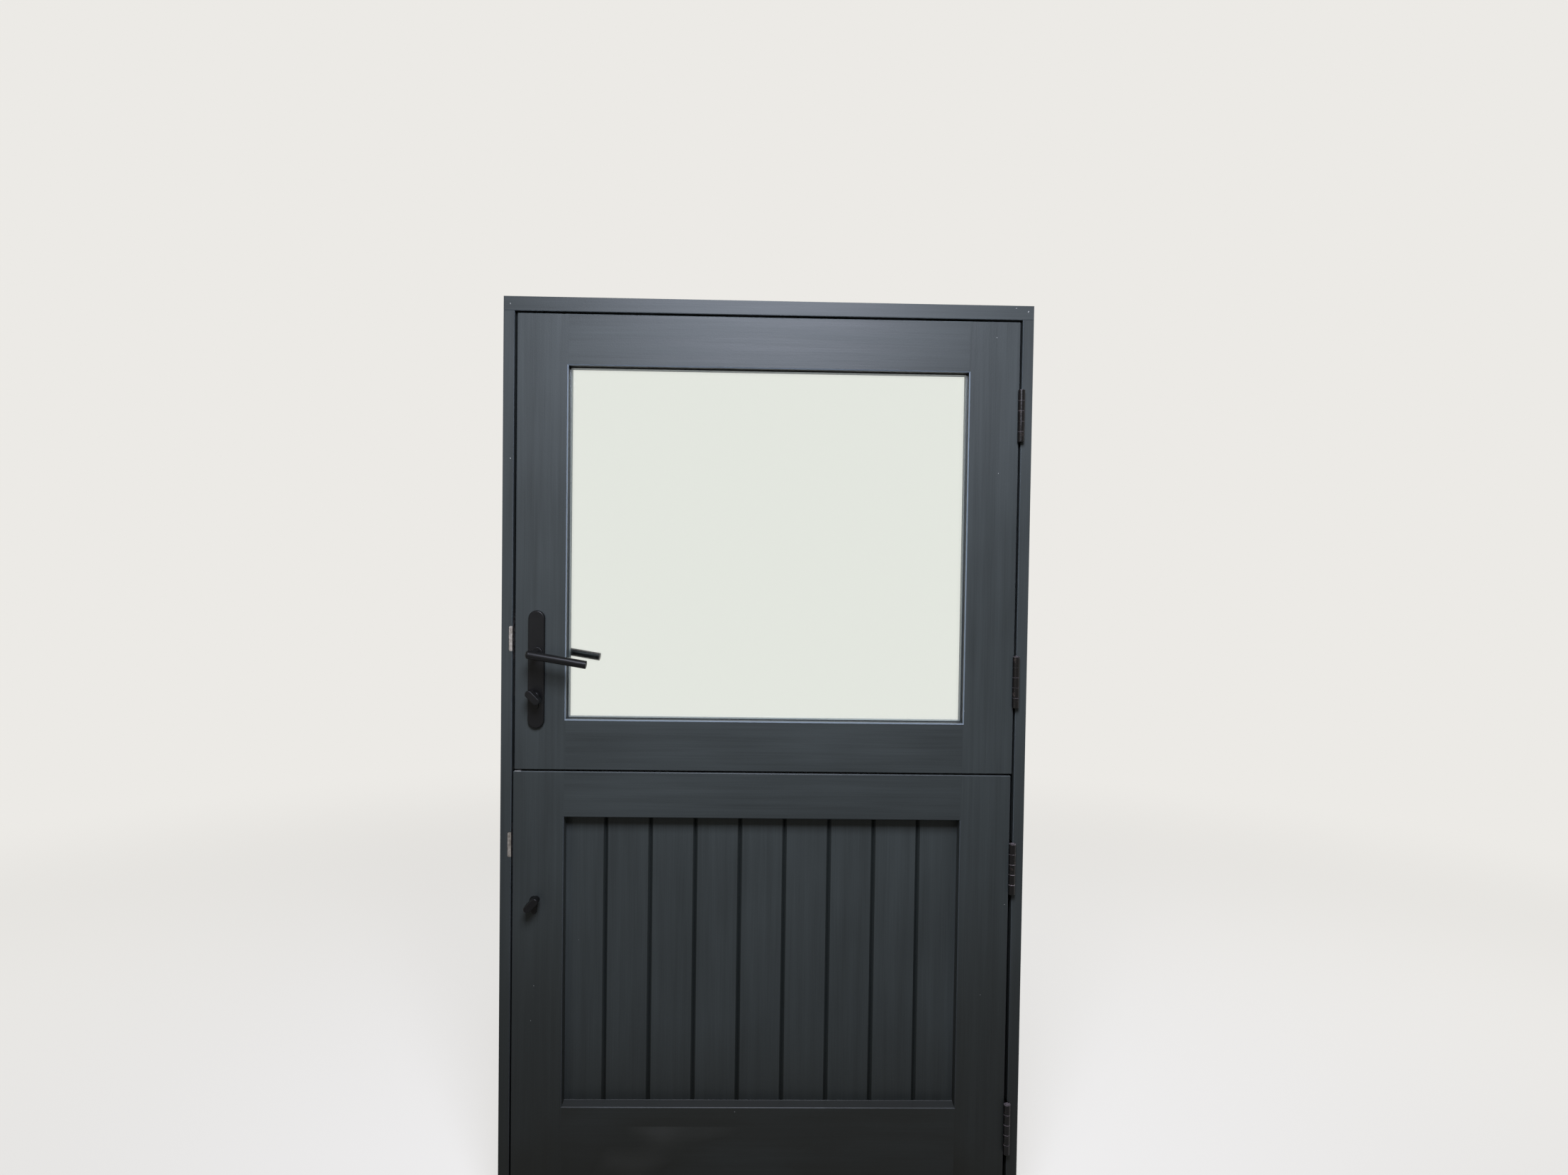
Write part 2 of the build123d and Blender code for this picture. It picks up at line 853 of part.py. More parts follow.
def case_span(spindle_z):
    low = spindle_z - lock_spindle_to_cylinder - case_below_cylinder
    return low, latch_z(spindle_z) + case_above_latch


def make_lock_case(left, spindle_z):
    """The hollow lock case with its forend, bored for the spindle, cylinder and bolts."""
    low, high = case_span(spindle_z)
    x0 = left + forend_thickness
    x1 = left + case_depth
    d0 = case_depth_start
    d1 = case_depth_start + case_thickness
    wall = case_wall
    case = block(x0, x1, d0, d1, low, high)
    case -= block(x0 + wall, x1 - wall, d0 + wall, d1 - wall, low + wall, high - wall)
    half = forend_width / 2
    case += block(
        left, x0, mid_depth - half, mid_depth + half, low - forend_overrun, high + forend_overrun
    )
    for hole in bolt_holes(spindle_z, left - 1, x0 + wall + 1, bolt_clearance):
        case -= hole
    x = left + backset
    case -= bar_through(x, spindle_z, follower_radius - wall, d0 - 1, d1 + 1)
    cylinder_z = spindle_z - lock_spindle_to_cylinder
    case -= through(cylinder_face(cylinder_clearance), x, cylinder_z, d0 - 1, d1 + 1)
    for height in forend_screw_heights(spindle_z):
        case -= facing(left, mid_depth, height, -1) * screw_hole(forend_thickness)
    return case


def forend_screw_heights(spindle_z):
    low, high = case_span(spindle_z)
    return low - forend_overrun + forend_screw_inset, high + forend_overrun - forend_screw_inset


def forend_screws(left, spindle_z):
    screw = wood_screw(screw_head_radius, screw_shank_radius, screw_length, forend_thickness)
    heights = forend_screw_heights(spindle_z)
    return [facing(left, mid_depth, height, -1) * screw for height in heights]


def lock_cuts(left, spindle_z, with_spindle):
    """What a lock takes out of its stile: mortice, forend seat, bores and screw holes."""
    low, high = case_span(spindle_z)
    grow = case_clearance
    d0 = case_depth_start - grow
    d1 = case_depth_start + case_thickness + grow
    cuts = [block(left - 1, left + case_depth + grow, d0, d1, low - grow, high + grow)]
    half = forend_width / 2 + joinery_clearance
    low_end = low - forend_overrun - joinery_clearance
    high_end = high + forend_overrun + joinery_clearance
    seat = (mid_depth - half, mid_depth + half, low_end, high_end)
    cuts.append(block(left - 1, left + forend_thickness, *seat))
    for height in forend_screw_heights(spindle_z):
        cuts.append(facing(left, mid_depth, height, -1) * screw_hole(forend_thickness))
    x = left + backset
    cylinder_z = spindle_z - lock_spindle_to_cylinder
    cuts.append(
        through(cylinder_face(cylinder_clearance), x, cylinder_z, -1, leaf_thickness + 1)
    )
    if with_spindle:
        radius = spindle_side / 2 * 2**0.5 + spindle_hole_clearance
        cuts.append(bar_through(x, spindle_z, radius, -1, leaf_thickness + 1))
    return cuts


def make_latch(left, spindle_z):
    """The sprung latch, drawn back, with its bevel on the side that meets the keep first."""
    x0 = left + bolt_rest_inset
    d0 = mid_depth - latch_thickness / 2
    d1 = mid_depth + latch_thickness / 2
    z = latch_z(spindle_z)
    outline = [
        (x0, d0),
        (x0 + latch_head_length, d0),
        (x0 + latch_head_length, d1),
        (x0 + latch_bevel, d1),
        (x0, d0 + latch_nose),
    ]
    head = length_along_z(outline, z - latch_height / 2, z + latch_height / 2)
    half = latch_tail_height / 2
    x1 = x0 + latch_head_length
    return head + block(x1, x0 + latch_length, d0, d1, z - half, z + half)


def make_deadbolt(left, spindle_z):
    """The deadbolt, drawn back, with its front corners eased."""
    x0 = left + bolt_rest_inset
    z = bolt_z(spindle_z)
    d0 = mid_depth - deadbolt_thickness / 2
    d1 = mid_depth + deadbolt_thickness / 2
    half = deadbolt_height / 2
    bolt = block(x0, x0 + deadbolt_length, d0, d1, z - half, z + half)
    return chamfer(bolt.faces().sort_by(Axis.X)[0].edges(), deadbolt_edge)


def cylinder_face(grow):
    """The keyhole-shaped section of a profile cylinder, with its leg hanging down."""
    radius = cylinder_radius + grow
    half_leg = cylinder_leg_width / 2 + grow
    leg_end = cylinder_height - cylinder_radius - cylinder_leg_width / 2
    face = Circle(radius) + Pos(0, -leg_end / 2) * Rectangle(2 * half_leg, leg_end)
    return face + Pos(0, -leg_end) * Circle(half_leg)


def make_cylinder(left, z, proud):
    """A profile cylinder: bored for the thumb-turn inside, with a keyway outside."""
    x = left + backset
    d0 = -proud
    d1 = leaf_thickness + proud
    body = through(cylinder_face(0), x, z, d0, d1)
    half_cam = cam_thickness / 2 + cam_clearance
    slot_radius = cam_radius + cam_clearance
    body -= bar_through(x, z, slot_radius, mid_depth - half_cam, mid_depth + half_cam)
    body -= bar_through(x, z, turn_stem_radius + turn_fit, d0 - 1, mid_depth)
    keyway = Rectangle(keyway_width, keyway_height)
    return body - through(keyway, x, z, d1 - keyway_depth, d1 + 1)


def make_thumb_turn(left, z, proud, tilt):
    """A thumb-turn on its stem: collar, neck and oval wing, and the cam inside the case."""
    x = left + backset
    collar_back = -proud - turn_collar_gap
    collar_front = collar_back - turn_collar_length
    wing_back = collar_front - turn_neck_length
    wing_front = wing_back - turn_wing_depth
    half_cam = cam_thickness / 2
    turn = bar_through(x, z, turn_stem_radius, collar_back, mid_depth + half_cam)
    collar = bar_through(x, z, turn_collar_radius, collar_front, collar_back)
    turn += fillet(collar.edges().group_by(Axis.Y)[0], turn_collar_edge)
    turn += bar_through(x, z, turn_neck_radius, wing_back - turn_neck_lap, collar_front)
    turn += make_wing(x, z, wing_front, wing_back, tilt)
    lug = Pos(0, -cam_radius / 2) * Rectangle(cam_width, cam_radius)
    lug = lug & Circle(cam_radius)
    return turn + through(Rot(0, 0, tilt) * lug, x, z, mid_depth - half_cam, mid_depth + half_cam)


def make_wing(x, z, d0, d1, tilt):
    """The flat oval wing, longest across its turning axis."""
    wing = through(
        Rot(0, 0, tilt) * SlotOverall(turn_wing_length, turn_wing_thickness), x, z, d0, d1
    )
    ends = wing.edges().group_by(Axis.Y)[0]
    return fillet(ends, turn_wing_edge)


# Lever set


def lever_section(side):
    """A lever's end of the spindle: depth of the face, and which way the room lies."""
    return (0, -1) if side < 0 else (leaf_thickness, 1)


def make_plate(side):
    """A backplate with round ends, a softened front edge and a boss around the lever."""
    face, out = lever_section(side)
    x = upper_left + backset
    z = upper_spindle_z - plate_centre_below_spindle
    front = face + out * plate_thickness
    d0, d1 = sorted((face, front))
    outline = Rot(0, 0, 90) * SlotOverall(plate_height, plate_width)
    plate = through(outline, x, z, d0, d1)
    rim = plate.edges().group_by(Axis.Y)[0 if side < 0 else -1]
    plate = fillet(rim, plate_edge_radius)
    b0, b1 = sorted((front, front + out * boss_height))
    boss = bar_through(x, upper_spindle_z, boss_radius, b0, b1)
    boss_rim = boss.edges().filter_by(GeomType.CIRCLE).group_by(Axis.Y)[0 if side < 0 else -1]
    plate += fillet(boss_rim, boss_edge)
    h0, h1 = d0 - boss_height - 1, d1 + boss_height + 1
    plate -= bar_through(x, upper_spindle_z, lever_neck_radius + lever_journal_fit, h0, h1)
    plate -= through(cylinder_face(cylinder_clearance), x, upper_cylinder_z, h0, h1)
    return finish_plate(plate, side, x, z, front)


def finish_plate(plate, side, x, z, front):
    """Threaded pillars on the inside plate, and countersunk bolt holes in the outside one."""
    bore = plate_bolt_radius + pilot_clearance
    for step in (-1, 1):
        bolt = z + step * plate_bolt_spacing / 2
        if side < 0:
            plate += bar_through(x, bolt, plate_pillar_radius, 0, plate_pillar_length)
            plate -= bar_through(x, bolt, bore, -plate_pillar_bore, plate_pillar_length + 1)
        else:
            place = Pos(x, room_y + front, bolt) * Rot(-90, 0, 0)
            plate -= place * plate_bolt(pilot_clearance)
    return plate


def plate_bolt(grow):
    """The bolt that pulls both plates together, its head on +Z at the origin."""
    length = leaf_thickness + plate_thickness - plate_bolt_end_gap
    outline = [
        (0, 0),
        (plate_bolt_head_radius + grow, 0),
        (plate_bolt_radius + grow, -plate_bolt_head_depth),
        (plate_bolt_radius + grow, -length),
        (0, -length),
    ]
    return revolve(Plane.XZ * make_face(Polyline(*outline, close=True)), Axis.Z)


def plate_bolts():
    x = upper_left + backset
    front = leaf_thickness + plate_thickness
    bolts = []
    for step in (-1, 1):
        z = upper_spindle_z - plate_centre_below_spindle + step * plate_bolt_spacing / 2
        bolts.append(Pos(x, room_y + front, z) * Rot(-90, 0, 0) * plate_bolt(0))
    return bolts


def plate_bolt_bores():
    x = upper_left + backset
    radius = plate_pillar_radius + joinery_clearance
    z = upper_spindle_z - plate_centre_below_spindle
    half = plate_bolt_spacing / 2
    return [bar_through(x, z + step * half, radius, -1, leaf_thickness + 1) for step in (-1, 1)]


def make_lever(side):
    """A lever of round bar: a neck out of the boss, and a drooping grip with a domed heel."""
    face, out = lever_section(side)
    x = upper_left + backset
    root = face + out * lever_journal_start
    grip = face + out * lever_stand_off
    droop = radians(lever_droop)
    along = Vector(cos(droop), 0, -sin(droop))
    corner = Vector(x, room_y + grip, upper_spindle_z)
    heel = corner - along * lever_heel
    tip = corner + along * lever_length
    section = Plane(origin=heel, z_dir=along) * Circle(lever_radius)
    lever = extrude(section, amount=lever_heel + lever_length, dir=along)
    for end, radius in ((heel, lever_heel_radius), (tip, lever_end_radius)):
        end_face = lever.faces().sort_by_distance(end)[0]
        lever = fillet(end_face.edges(), radius)
    n0, n1 = sorted((root, grip))
    lever += bar_through(x, upper_spindle_z, lever_neck_radius, n0, n1)
    side_half = spindle_side / 2 + spindle_fit
    s0, s1 = sorted((root - out, grip - out * lever_radius / 2))
    socket = Rot(0, 0, -lever_droop) * Rectangle(2 * side_half, 2 * side_half)
    return lever - through(socket, x, upper_spindle_z, s0, s1)


def make_spindle():
    """The square spindle that joins both levers, with the follower it turns in the case."""
    x = upper_left + backset
    reach = lever_stand_off - lever_radius
    square = Rot(0, 0, -lever_droop) * Rectangle(spindle_side, spindle_side)
    spindle = through(square, x, upper_spindle_z, -reach, leaf_thickness + reach)
    half = follower_thickness / 2
    return spindle + bar_through(
        x, upper_spindle_z, follower_radius, mid_depth - half, mid_depth + half
    )


# Assembly


def frame_pieces():
    sill_blank = make_sill()
    sill = sill_blank
    for side in (-1, 1):
        low = sill_height - frame_tenon_length
        sill -= jamb_tenon(side, low, sill_height, joinery_clearance)
    lock_jamb = make_jamb(-1, sill_blank)
    for left, spindle_z in ((upper_left, upper_spindle_z), (lower_left, lower_spindle_z)):
        for cut in keep_cuts(left, spindle_z):
            lock_jamb -= cut
    hinge_jamb = make_jamb(1, sill_blank)
    for cut in hinge_cuts(hinge_bottoms, 1):
        hinge_jamb -= cut
    pieces = {
        "sill": sill,
        "lock_jamb": lock_jamb,
        "hinge_jamb": hinge_jamb,
        "head": make_head(),
        "frame_seal": make_frame_seal(),
        "upper_keep": make_keep(upper_spindle_z),
        "lower_keep": make_keep(lower_spindle_z),
        "hinge_pins": Compound([make_pin(bottom) for bottom in hinge_bottoms]),
    }
    screws = keep_screws(upper_spindle_z) + keep_screws(lower_spindle_z)
    for number, bottom in enumerate(hinge_bottoms, 1):
        pieces[f"hinge_{number}_frame_flap"] = make_flap(bottom, 1)
        pieces[f"hinge_{number}_leaf_flap"] = make_flap(bottom, -1)
        screws += hinge_screws(bottom, 1)
    pieces["frame_screws"] = Compound(screws)
    return pieces


def upper_leaf_pieces():
    rails = ((upper_leaf_bottom, glass_bottom), (glass_top, upper_leaf_top))
    members = {
        "upper_lock_stile": make_stile(upper_left, -1, upper_leaf_bottom, upper_leaf_height, rails),
        "upper_hinge_stile": make_stile(upper_left, 1, upper_leaf_bottom, upper_leaf_height, rails),
        "upper_meeting_rail": make_rail(upper_left, *rails[0]),
        "upper_top_rail": make_rail(upper_left, *rails[1]),
    }
    envelope = leaf_envelope(upper_left, upper_leaf_bottom, upper_leaf_height)
    funnel = opening_funnel(upper_left, glass_bottom, glass_top, opening_chamfer)
    openings = glass_rebate() + funnel
    pieces = {name: (member & envelope) - openings for name, member in members.items()}
    for cut in lock_cuts(upper_left, upper_spindle_z, True) + plate_bolt_bores():
        pieces["upper_lock_stile"] -= cut
    for cut in hinge_cuts(hinge_bottoms[:2], -1):
        pieces["upper_hinge_stile"] -= cut
    pieces["glass_inner_pane"] = make_pane(glass_lip)
    pieces["glass_outer_pane"] = make_pane(pane_2_start)
    pieces["glass_spacer"] = make_spacer()
    for place in ("left", "right", "top", "bottom"):
        pieces[f"glazing_bead_{place}"] = make_bead(place)
    screws = hinge_screws(hinge_bottoms[0], -1) + hinge_screws(hinge_bottoms[1], -1)
    screws += forend_screws(upper_left, upper_spindle_z) + plate_bolts()
    pieces["upper_leaf_screws"] = Compound(screws)
    return pieces


def lower_leaf_pieces():
    rails = ((lower_leaf_bottom, panel_bottom), (panel_top, lower_leaf_top))
    members = {
        "lower_lock_stile": make_stile(lower_left, -1, lower_leaf_bottom, lower_leaf_height, rails),
        "lower_hinge_stile": make_stile(lower_left, 1, lower_leaf_bottom, lower_leaf_height, rails),
        "lower_bottom_rail": make_rail(lower_left, *rails[0]),
        "lower_meeting_rail": make_rail(lower_left, *rails[1]),
    }
    envelope = leaf_envelope(lower_left, lower_leaf_bottom, lower_leaf_height)
    funnel = opening_funnel(lower_left, panel_bottom, panel_top, panel_arris)
    openings = panel_groove() + meeting_seal_groove() + funnel
    pieces = {name: (member & envelope) - openings for name, member in members.items()}
    for cut in lock_cuts(lower_left, lower_spindle_z, False):
        pieces["lower_lock_stile"] -= cut
    for cut in hinge_cuts(hinge_bottoms[2:], -1):
        pieces["lower_hinge_stile"] -= cut
    for index in range(board_count):
        pieces[f"board_{index + 1}"] = make_board(index)
    pieces["weatherboard"] = make_weatherboard()
    pieces["meeting_seal"] = make_meeting_seal()
    screws = hinge_screws(hinge_bottoms[2], -1) + hinge_screws(hinge_bottoms[3], -1)
    screws += forend_screws(lower_left, lower_spindle_z)
    pieces["lower_leaf_screws"] = Compound(screws)
    return pieces


def lock_pieces():
    proud = plate_thickness + cylinder_proud
    return {
        "upper_lock_case": make_lock_case(upper_left, upper_spindle_z),
        "upper_latch_bolt": make_latch(upper_left, upper_spindle_z),
        "upper_deadbolt": make_deadbolt(upper_left, upper_spindle_z),
        "upper_cylinder": make_cylinder(upper_left, upper_cylinder_z, proud),
        "upper_thumb_turn": make_thumb_turn(upper_left, upper_cylinder_z, proud, -turn_tilt),
        "lower_lock_case": make_lock_case(lower_left, lower_spindle_z),
        "lower_latch_bolt": make_latch(lower_left, lower_spindle_z),
        "lower_deadbolt": make_deadbolt(lower_left, lower_spindle_z),
        "lower_cylinder": make_cylinder(lower_left, lower_cylinder_z, cylinder_proud),
        "lower_thumb_turn": make_thumb_turn(lower_left, lower_cylinder_z, cylinder_proud, turn_tilt),
        "inside_backplate": make_plate(-1),
        "outside_backplate": make_plate(1),
        "inside_lever": make_lever(-1),
        "outside_lever": make_lever(1),
        "lever_spindle": make_spindle(),
    }


def main():
    os.makedirs("parts", exist_ok=True)
    pieces = frame_pieces()
    pieces.update(upper_leaf_pieces())
    pieces.update(lower_leaf_pieces())
    pieces.update(lock_pieces())
    for name, piece in pieces.items():
        export_step(piece, f"parts/{name}.step")
    print(len(pieces), "pieces")


main()
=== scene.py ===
import json
import math

import bpy
from mathutils import Matrix, Vector

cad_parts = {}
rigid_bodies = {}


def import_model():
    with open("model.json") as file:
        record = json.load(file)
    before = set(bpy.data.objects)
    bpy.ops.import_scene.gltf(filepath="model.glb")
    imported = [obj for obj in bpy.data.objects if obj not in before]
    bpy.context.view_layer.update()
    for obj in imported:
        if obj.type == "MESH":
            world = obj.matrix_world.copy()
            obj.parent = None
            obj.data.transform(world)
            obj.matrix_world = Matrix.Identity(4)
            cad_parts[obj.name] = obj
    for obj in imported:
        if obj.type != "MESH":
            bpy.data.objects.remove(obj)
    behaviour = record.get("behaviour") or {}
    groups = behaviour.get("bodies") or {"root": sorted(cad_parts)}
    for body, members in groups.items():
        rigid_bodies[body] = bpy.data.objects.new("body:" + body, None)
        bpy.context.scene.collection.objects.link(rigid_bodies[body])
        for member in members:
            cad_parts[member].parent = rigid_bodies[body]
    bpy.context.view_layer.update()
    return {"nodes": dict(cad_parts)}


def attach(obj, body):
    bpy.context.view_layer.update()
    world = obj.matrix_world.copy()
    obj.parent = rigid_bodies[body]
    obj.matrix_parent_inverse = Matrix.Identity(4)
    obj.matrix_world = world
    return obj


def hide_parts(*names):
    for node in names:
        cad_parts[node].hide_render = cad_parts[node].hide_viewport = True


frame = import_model()
nodes = frame["nodes"]
mm = 0.001
print("frame loaded:", len(nodes), "nodes")


# Adding nodes

plus, minus, times = ({"operation": word} for word in ("ADD", "SUBTRACT", "MULTIPLY"))
less, more, most = ({"operation": word} for word in ("LESS_THAN", "GREATER_THAN", "MAXIMUM"))
unsigned, length, zigzag = ({"operation": word} for word in ("ABSOLUTE", "LENGTH", "PINGPONG"))
colored = {"data_type": "RGBA"}                 # a Mix node that mixes colours
noiseSpread = (0.3, 0.7)                        # nearly all of a noise lies between these


def toLinear(hexColor):
    channels = [int(hexColor[i:i + 2], 16) / 255 for i in (1, 3, 5)]
    linear = [c / 12.92 if c <= 0.04045 else ((c + 0.055) / 1.055) ** 2.4 for c in channels]
    return (*linear, 1.0)


def setInputs(tree, node, inputs):
    # inputs go by name or number, or by their order in a list; each is a number, a hex colour,
    # a socket to link, or a node, whose output is linked
    for name, value in inputs.items() if isinstance(inputs, dict) else enumerate(inputs):
        if isinstance(value, bpy.types.Node):
            value = next(output for output in value.outputs if output.enabled)
        if isinstance(value, bpy.types.NodeSocket):
            tree.links.new(value, node.inputs[name])
        else:
            node.inputs[name].default_value = toLinear(value) if isinstance(value, str) else value


def addNode(tree, kind, settings=None, inputs=()):
    node = tree.nodes.new("ShaderNode" + kind)
    for name, value in (settings or {}).items():
        setattr(node, name, value)
    setInputs(tree, node, inputs)
    return node


def clearedTree(owner):
    owner.use_nodes = True
    owner.node_tree.nodes.clear()
    return owner.node_tree


# Camera, floor and light

studio = {
    "sensor": 36.0,                             # mm
    "lens": 22.62,                              # mm
    "eye": (-0.00525, -1.87136, 1.27764),       # metres, where the photograph was taken from
    "yaw": 1.180,                               # degrees, to the right
    "pitch": 1.508,                             # down
    "roll": 0.810,
    "paleHex": "#eceae6",
    "floorHex": "#d2d0cc",
    "bounceHex": "#6e6c69",                     # what the floor throws back at the door
    "floorRadius": 30.0,                        # metres
    "floorSides": 96,
    "floorHeight": -0.2 * mm,
    "shadowRadius": (0.7, 4.5),                 # the floor turns into the backdrop between these
    "paleShare": 0.55,                          # how pale the floor is kept near the door
    "ambientHex": "#ffffff",
    "ambient": 0.10,
}

softboxes = {
    # place, target, size in metres, watts, colour and the angle it spreads over in degrees
    "overheadFill": ((0.0, -1.55, 2.33), (0.0, 0.0, 1.35), (0.8, 0.8), 50.0, "#e6ebff", 120),
    "tallFill": ((-1.8, -3.2, 1.5), (0.0, 0.0, 1.2), (0.14, 2.0), 10.0, "#fffaf4", 180),
    "daylight": ((0.9, 2.6, 3.3), (0.0, 0.0, 1.0), (2.4, 1.8), 80.0, "#f6f9ff", 180),
    "lockSide": ((-3.0, 0.9, 1.9), (0.0, 0.0, 0.9), (1.6, 1.6), 45.0, "#ffffff", 180),
    "hingeSide": ((3.0, 0.9, 1.9), (0.0, 0.0, 0.9), (1.6, 1.6), 45.0, "#ffffff", 180),
}

panes = ["glass_inner_pane", "glass_outer_pane"]


def seenRays(tree):
    # 1 for rays that show the surface to the eye, straight, mirrored or through glass
    path = addNode(tree, "LightPath").outputs
    gloss = addNode(tree, "Math", most, [path["Is Glossy Ray"], path["Is Transmission Ray"]])
    return addNode(tree, "Math", most, [path["Is Camera Ray"], gloss])


def makeWorld():
    world = bpy.data.worlds.new("paleStudio")
    tree = clearedTree(world)
    ambient = addNode(tree, "Background", None,
                      {"Color": studio["ambientHex"], "Strength": studio["ambient"]})
    pale = addNode(tree, "Background", None, {"Color": studio["paleHex"], "Strength": 1.0})
    mix = addNode(tree, "MixShader", None, [seenRays(tree), ambient, pale])
    addNode(tree, "OutputWorld", None, [mix])
    bpy.context.scene.world = world


# The floor is matt paint: it takes the door's shadow, and pales into the backdrop further out

def makeFloor():
    bpy.ops.mesh.primitive_circle_add(vertices=studio["floorSides"], radius=studio["floorRadius"],
                                      fill_type="NGON", location=(0, 0, studio["floorHeight"]))
    floor = bpy.context.object
    floor.name = "floor"
    material = bpy.data.materials.new("mattPaintedFloor")
    tree = clearedTree(material)
    coords = addNode(tree, "TexCoord").outputs["Object"]
    distance = addNode(tree, "VectorMath", length, [coords])
    near, far = studio["shadowRadius"]
    fade = addNode(tree, "MapRange", {"interpolation_type": "SMOOTHSTEP"},
                   [distance, near, far, studio["paleShare"], 1.0])
    seen = seenRays(tree)
    share = addNode(tree, "Math", times, [fade, seen])
    color = addNode(tree, "Mix", colored, {0: seen, 6: studio["bounceHex"], 7: studio["floorHex"]})
    lit = addNode(tree, "BsdfDiffuse", None, {"Color": color})
    pale = addNode(tree, "Emission", None, {"Color": studio["paleHex"]})
    mix = addNode(tree, "MixShader", None, [share, lit, pale])
    addNode(tree, "OutputMaterial", None, [mix])
    floor.data.materials.append(material)


def makeLights():
    # every lamp spares the panes, which would mirror it as a hard white patch
    lit = bpy.data.collections.new("litByLamps")
    for index, pane in enumerate(panes):
        lit.objects.link(bpy.data.objects[pane])
        lit.collection_objects[index].light_linking.link_state = "EXCLUDE"
    for name, (place, target, size, watts, color, spread) in softboxes.items():
        data = bpy.data.lights.new(name, "AREA")
        data.shape = "RECTANGLE"
        data.size, data.size_y = size
        data.energy = watts
        data.color = toLinear(color)[:3]
        data.spread = math.radians(spread)
        lamp = bpy.data.objects.new(name, data)
        bpy.context.scene.collection.objects.link(lamp)
        aim = Vector(target) - Vector(place)
        lamp.location = place
        lamp.rotation_euler = aim.to_track_quat("-Z", "Y").to_euler()
        lamp.visible_transmission = False       # no lamp shows through the glass
        lamp.visible_glossy = not name.endswith("Side")     # nor as a hard line down the hinges
        lamp.light_linking.receiver_collection = lit


def makeCamera():
    data = bpy.data.cameras.new("photoCamera")
    data.sensor_width = studio["sensor"]
    data.lens = studio["lens"]
    camera = bpy.data.objects.new("photoCamera", data)
    bpy.context.scene.collection.objects.link(camera)
    yaw, pitch, roll = (math.radians(studio[turn]) for turn in ("yaw", "pitch", "roll"))
    camera.matrix_world = (
        Matrix.Translation(studio["eye"])
        @ Matrix.Rotation(-yaw, 4, "Z")
        @ Matrix.Rotation(math.pi / 2 - pitch, 4, "X")
        @ Matrix.Rotation(roll, 4, "Z")
    )
    bpy.context.scene.camera = camera


bpy.ops.object.select_all(action="DESELECT")
bpy.context.scene.view_settings.view_transform = "Standard"
makeWorld()
makeFloor()
makeLights()
makeCamera()
print("studio ready")


# What the materials share

chamferFacing = 0.7                             # how squarely a chamfer at 45 degrees faces Y
chamferSpread = (0.08, 0.22)                    # off by less it is one, off by more it is none


def startMaterial(name):
    material = bpy.data.materials.new(name)
    tree = clearedTree(material)
    shader = addNode(tree, "BsdfPrincipled")
    addNode(tree, "OutputMaterial", None, [shader])
    return material, tree, shader, addNode(tree, "TexCoord").outputs["Object"]


def stretchedNoise(tree, coords, size, detail=2.0, roughness=0.5):
    # noise whose features measure size, in metres, along X, Y and Z
    scaled = addNode(tree, "Mapping", None, {"Vector": coords, "Scale": [1 / s for s in size]})
    return addNode(tree, "TexNoise", None, {"Vector": scaled, "Scale": 1.0, "Detail": detail,
                                            "Roughness": roughness})


def facing(tree):
    # how far the surface faces along X, Y and Z of its own piece, -1 to 1
    normal = addNode(tree, "TexCoord").outputs["Normal"]
    return addNode(tree, "SeparateXYZ", None, [normal]).outputs


def slopedShare(tree):
    # 1 on a chamfer or the slope of a V-joint, 0 on a flat face
    squarely = addNode(tree, "Math", unsigned, [facing(tree)[1]])
    offset = addNode(tree, "Math", minus, [squarely, chamferFacing])
    offset = addNode(tree, "Math", unsigned, [offset])
    return addNode(tree, "MapRange", None, [offset, *chamferSpread, 1.0, 0.0])


def bumped(tree, shader, layers):
    # each layer is a height and how deep it goes, in metres
    below = {}
    for height, depth in layers:
        bump = addNode(tree, "Bump", None,
                       {"Strength": 1.0, "Distance": depth, "Height": height, **below})
        below = {"Normal": bump}
    setInputs(tree, shader, below)


# Satin joinery paint, brushed on along each member. To the eye it is a near black grey whose sheen
# is broken by faint brush lines, the grain under it and soft clouds.

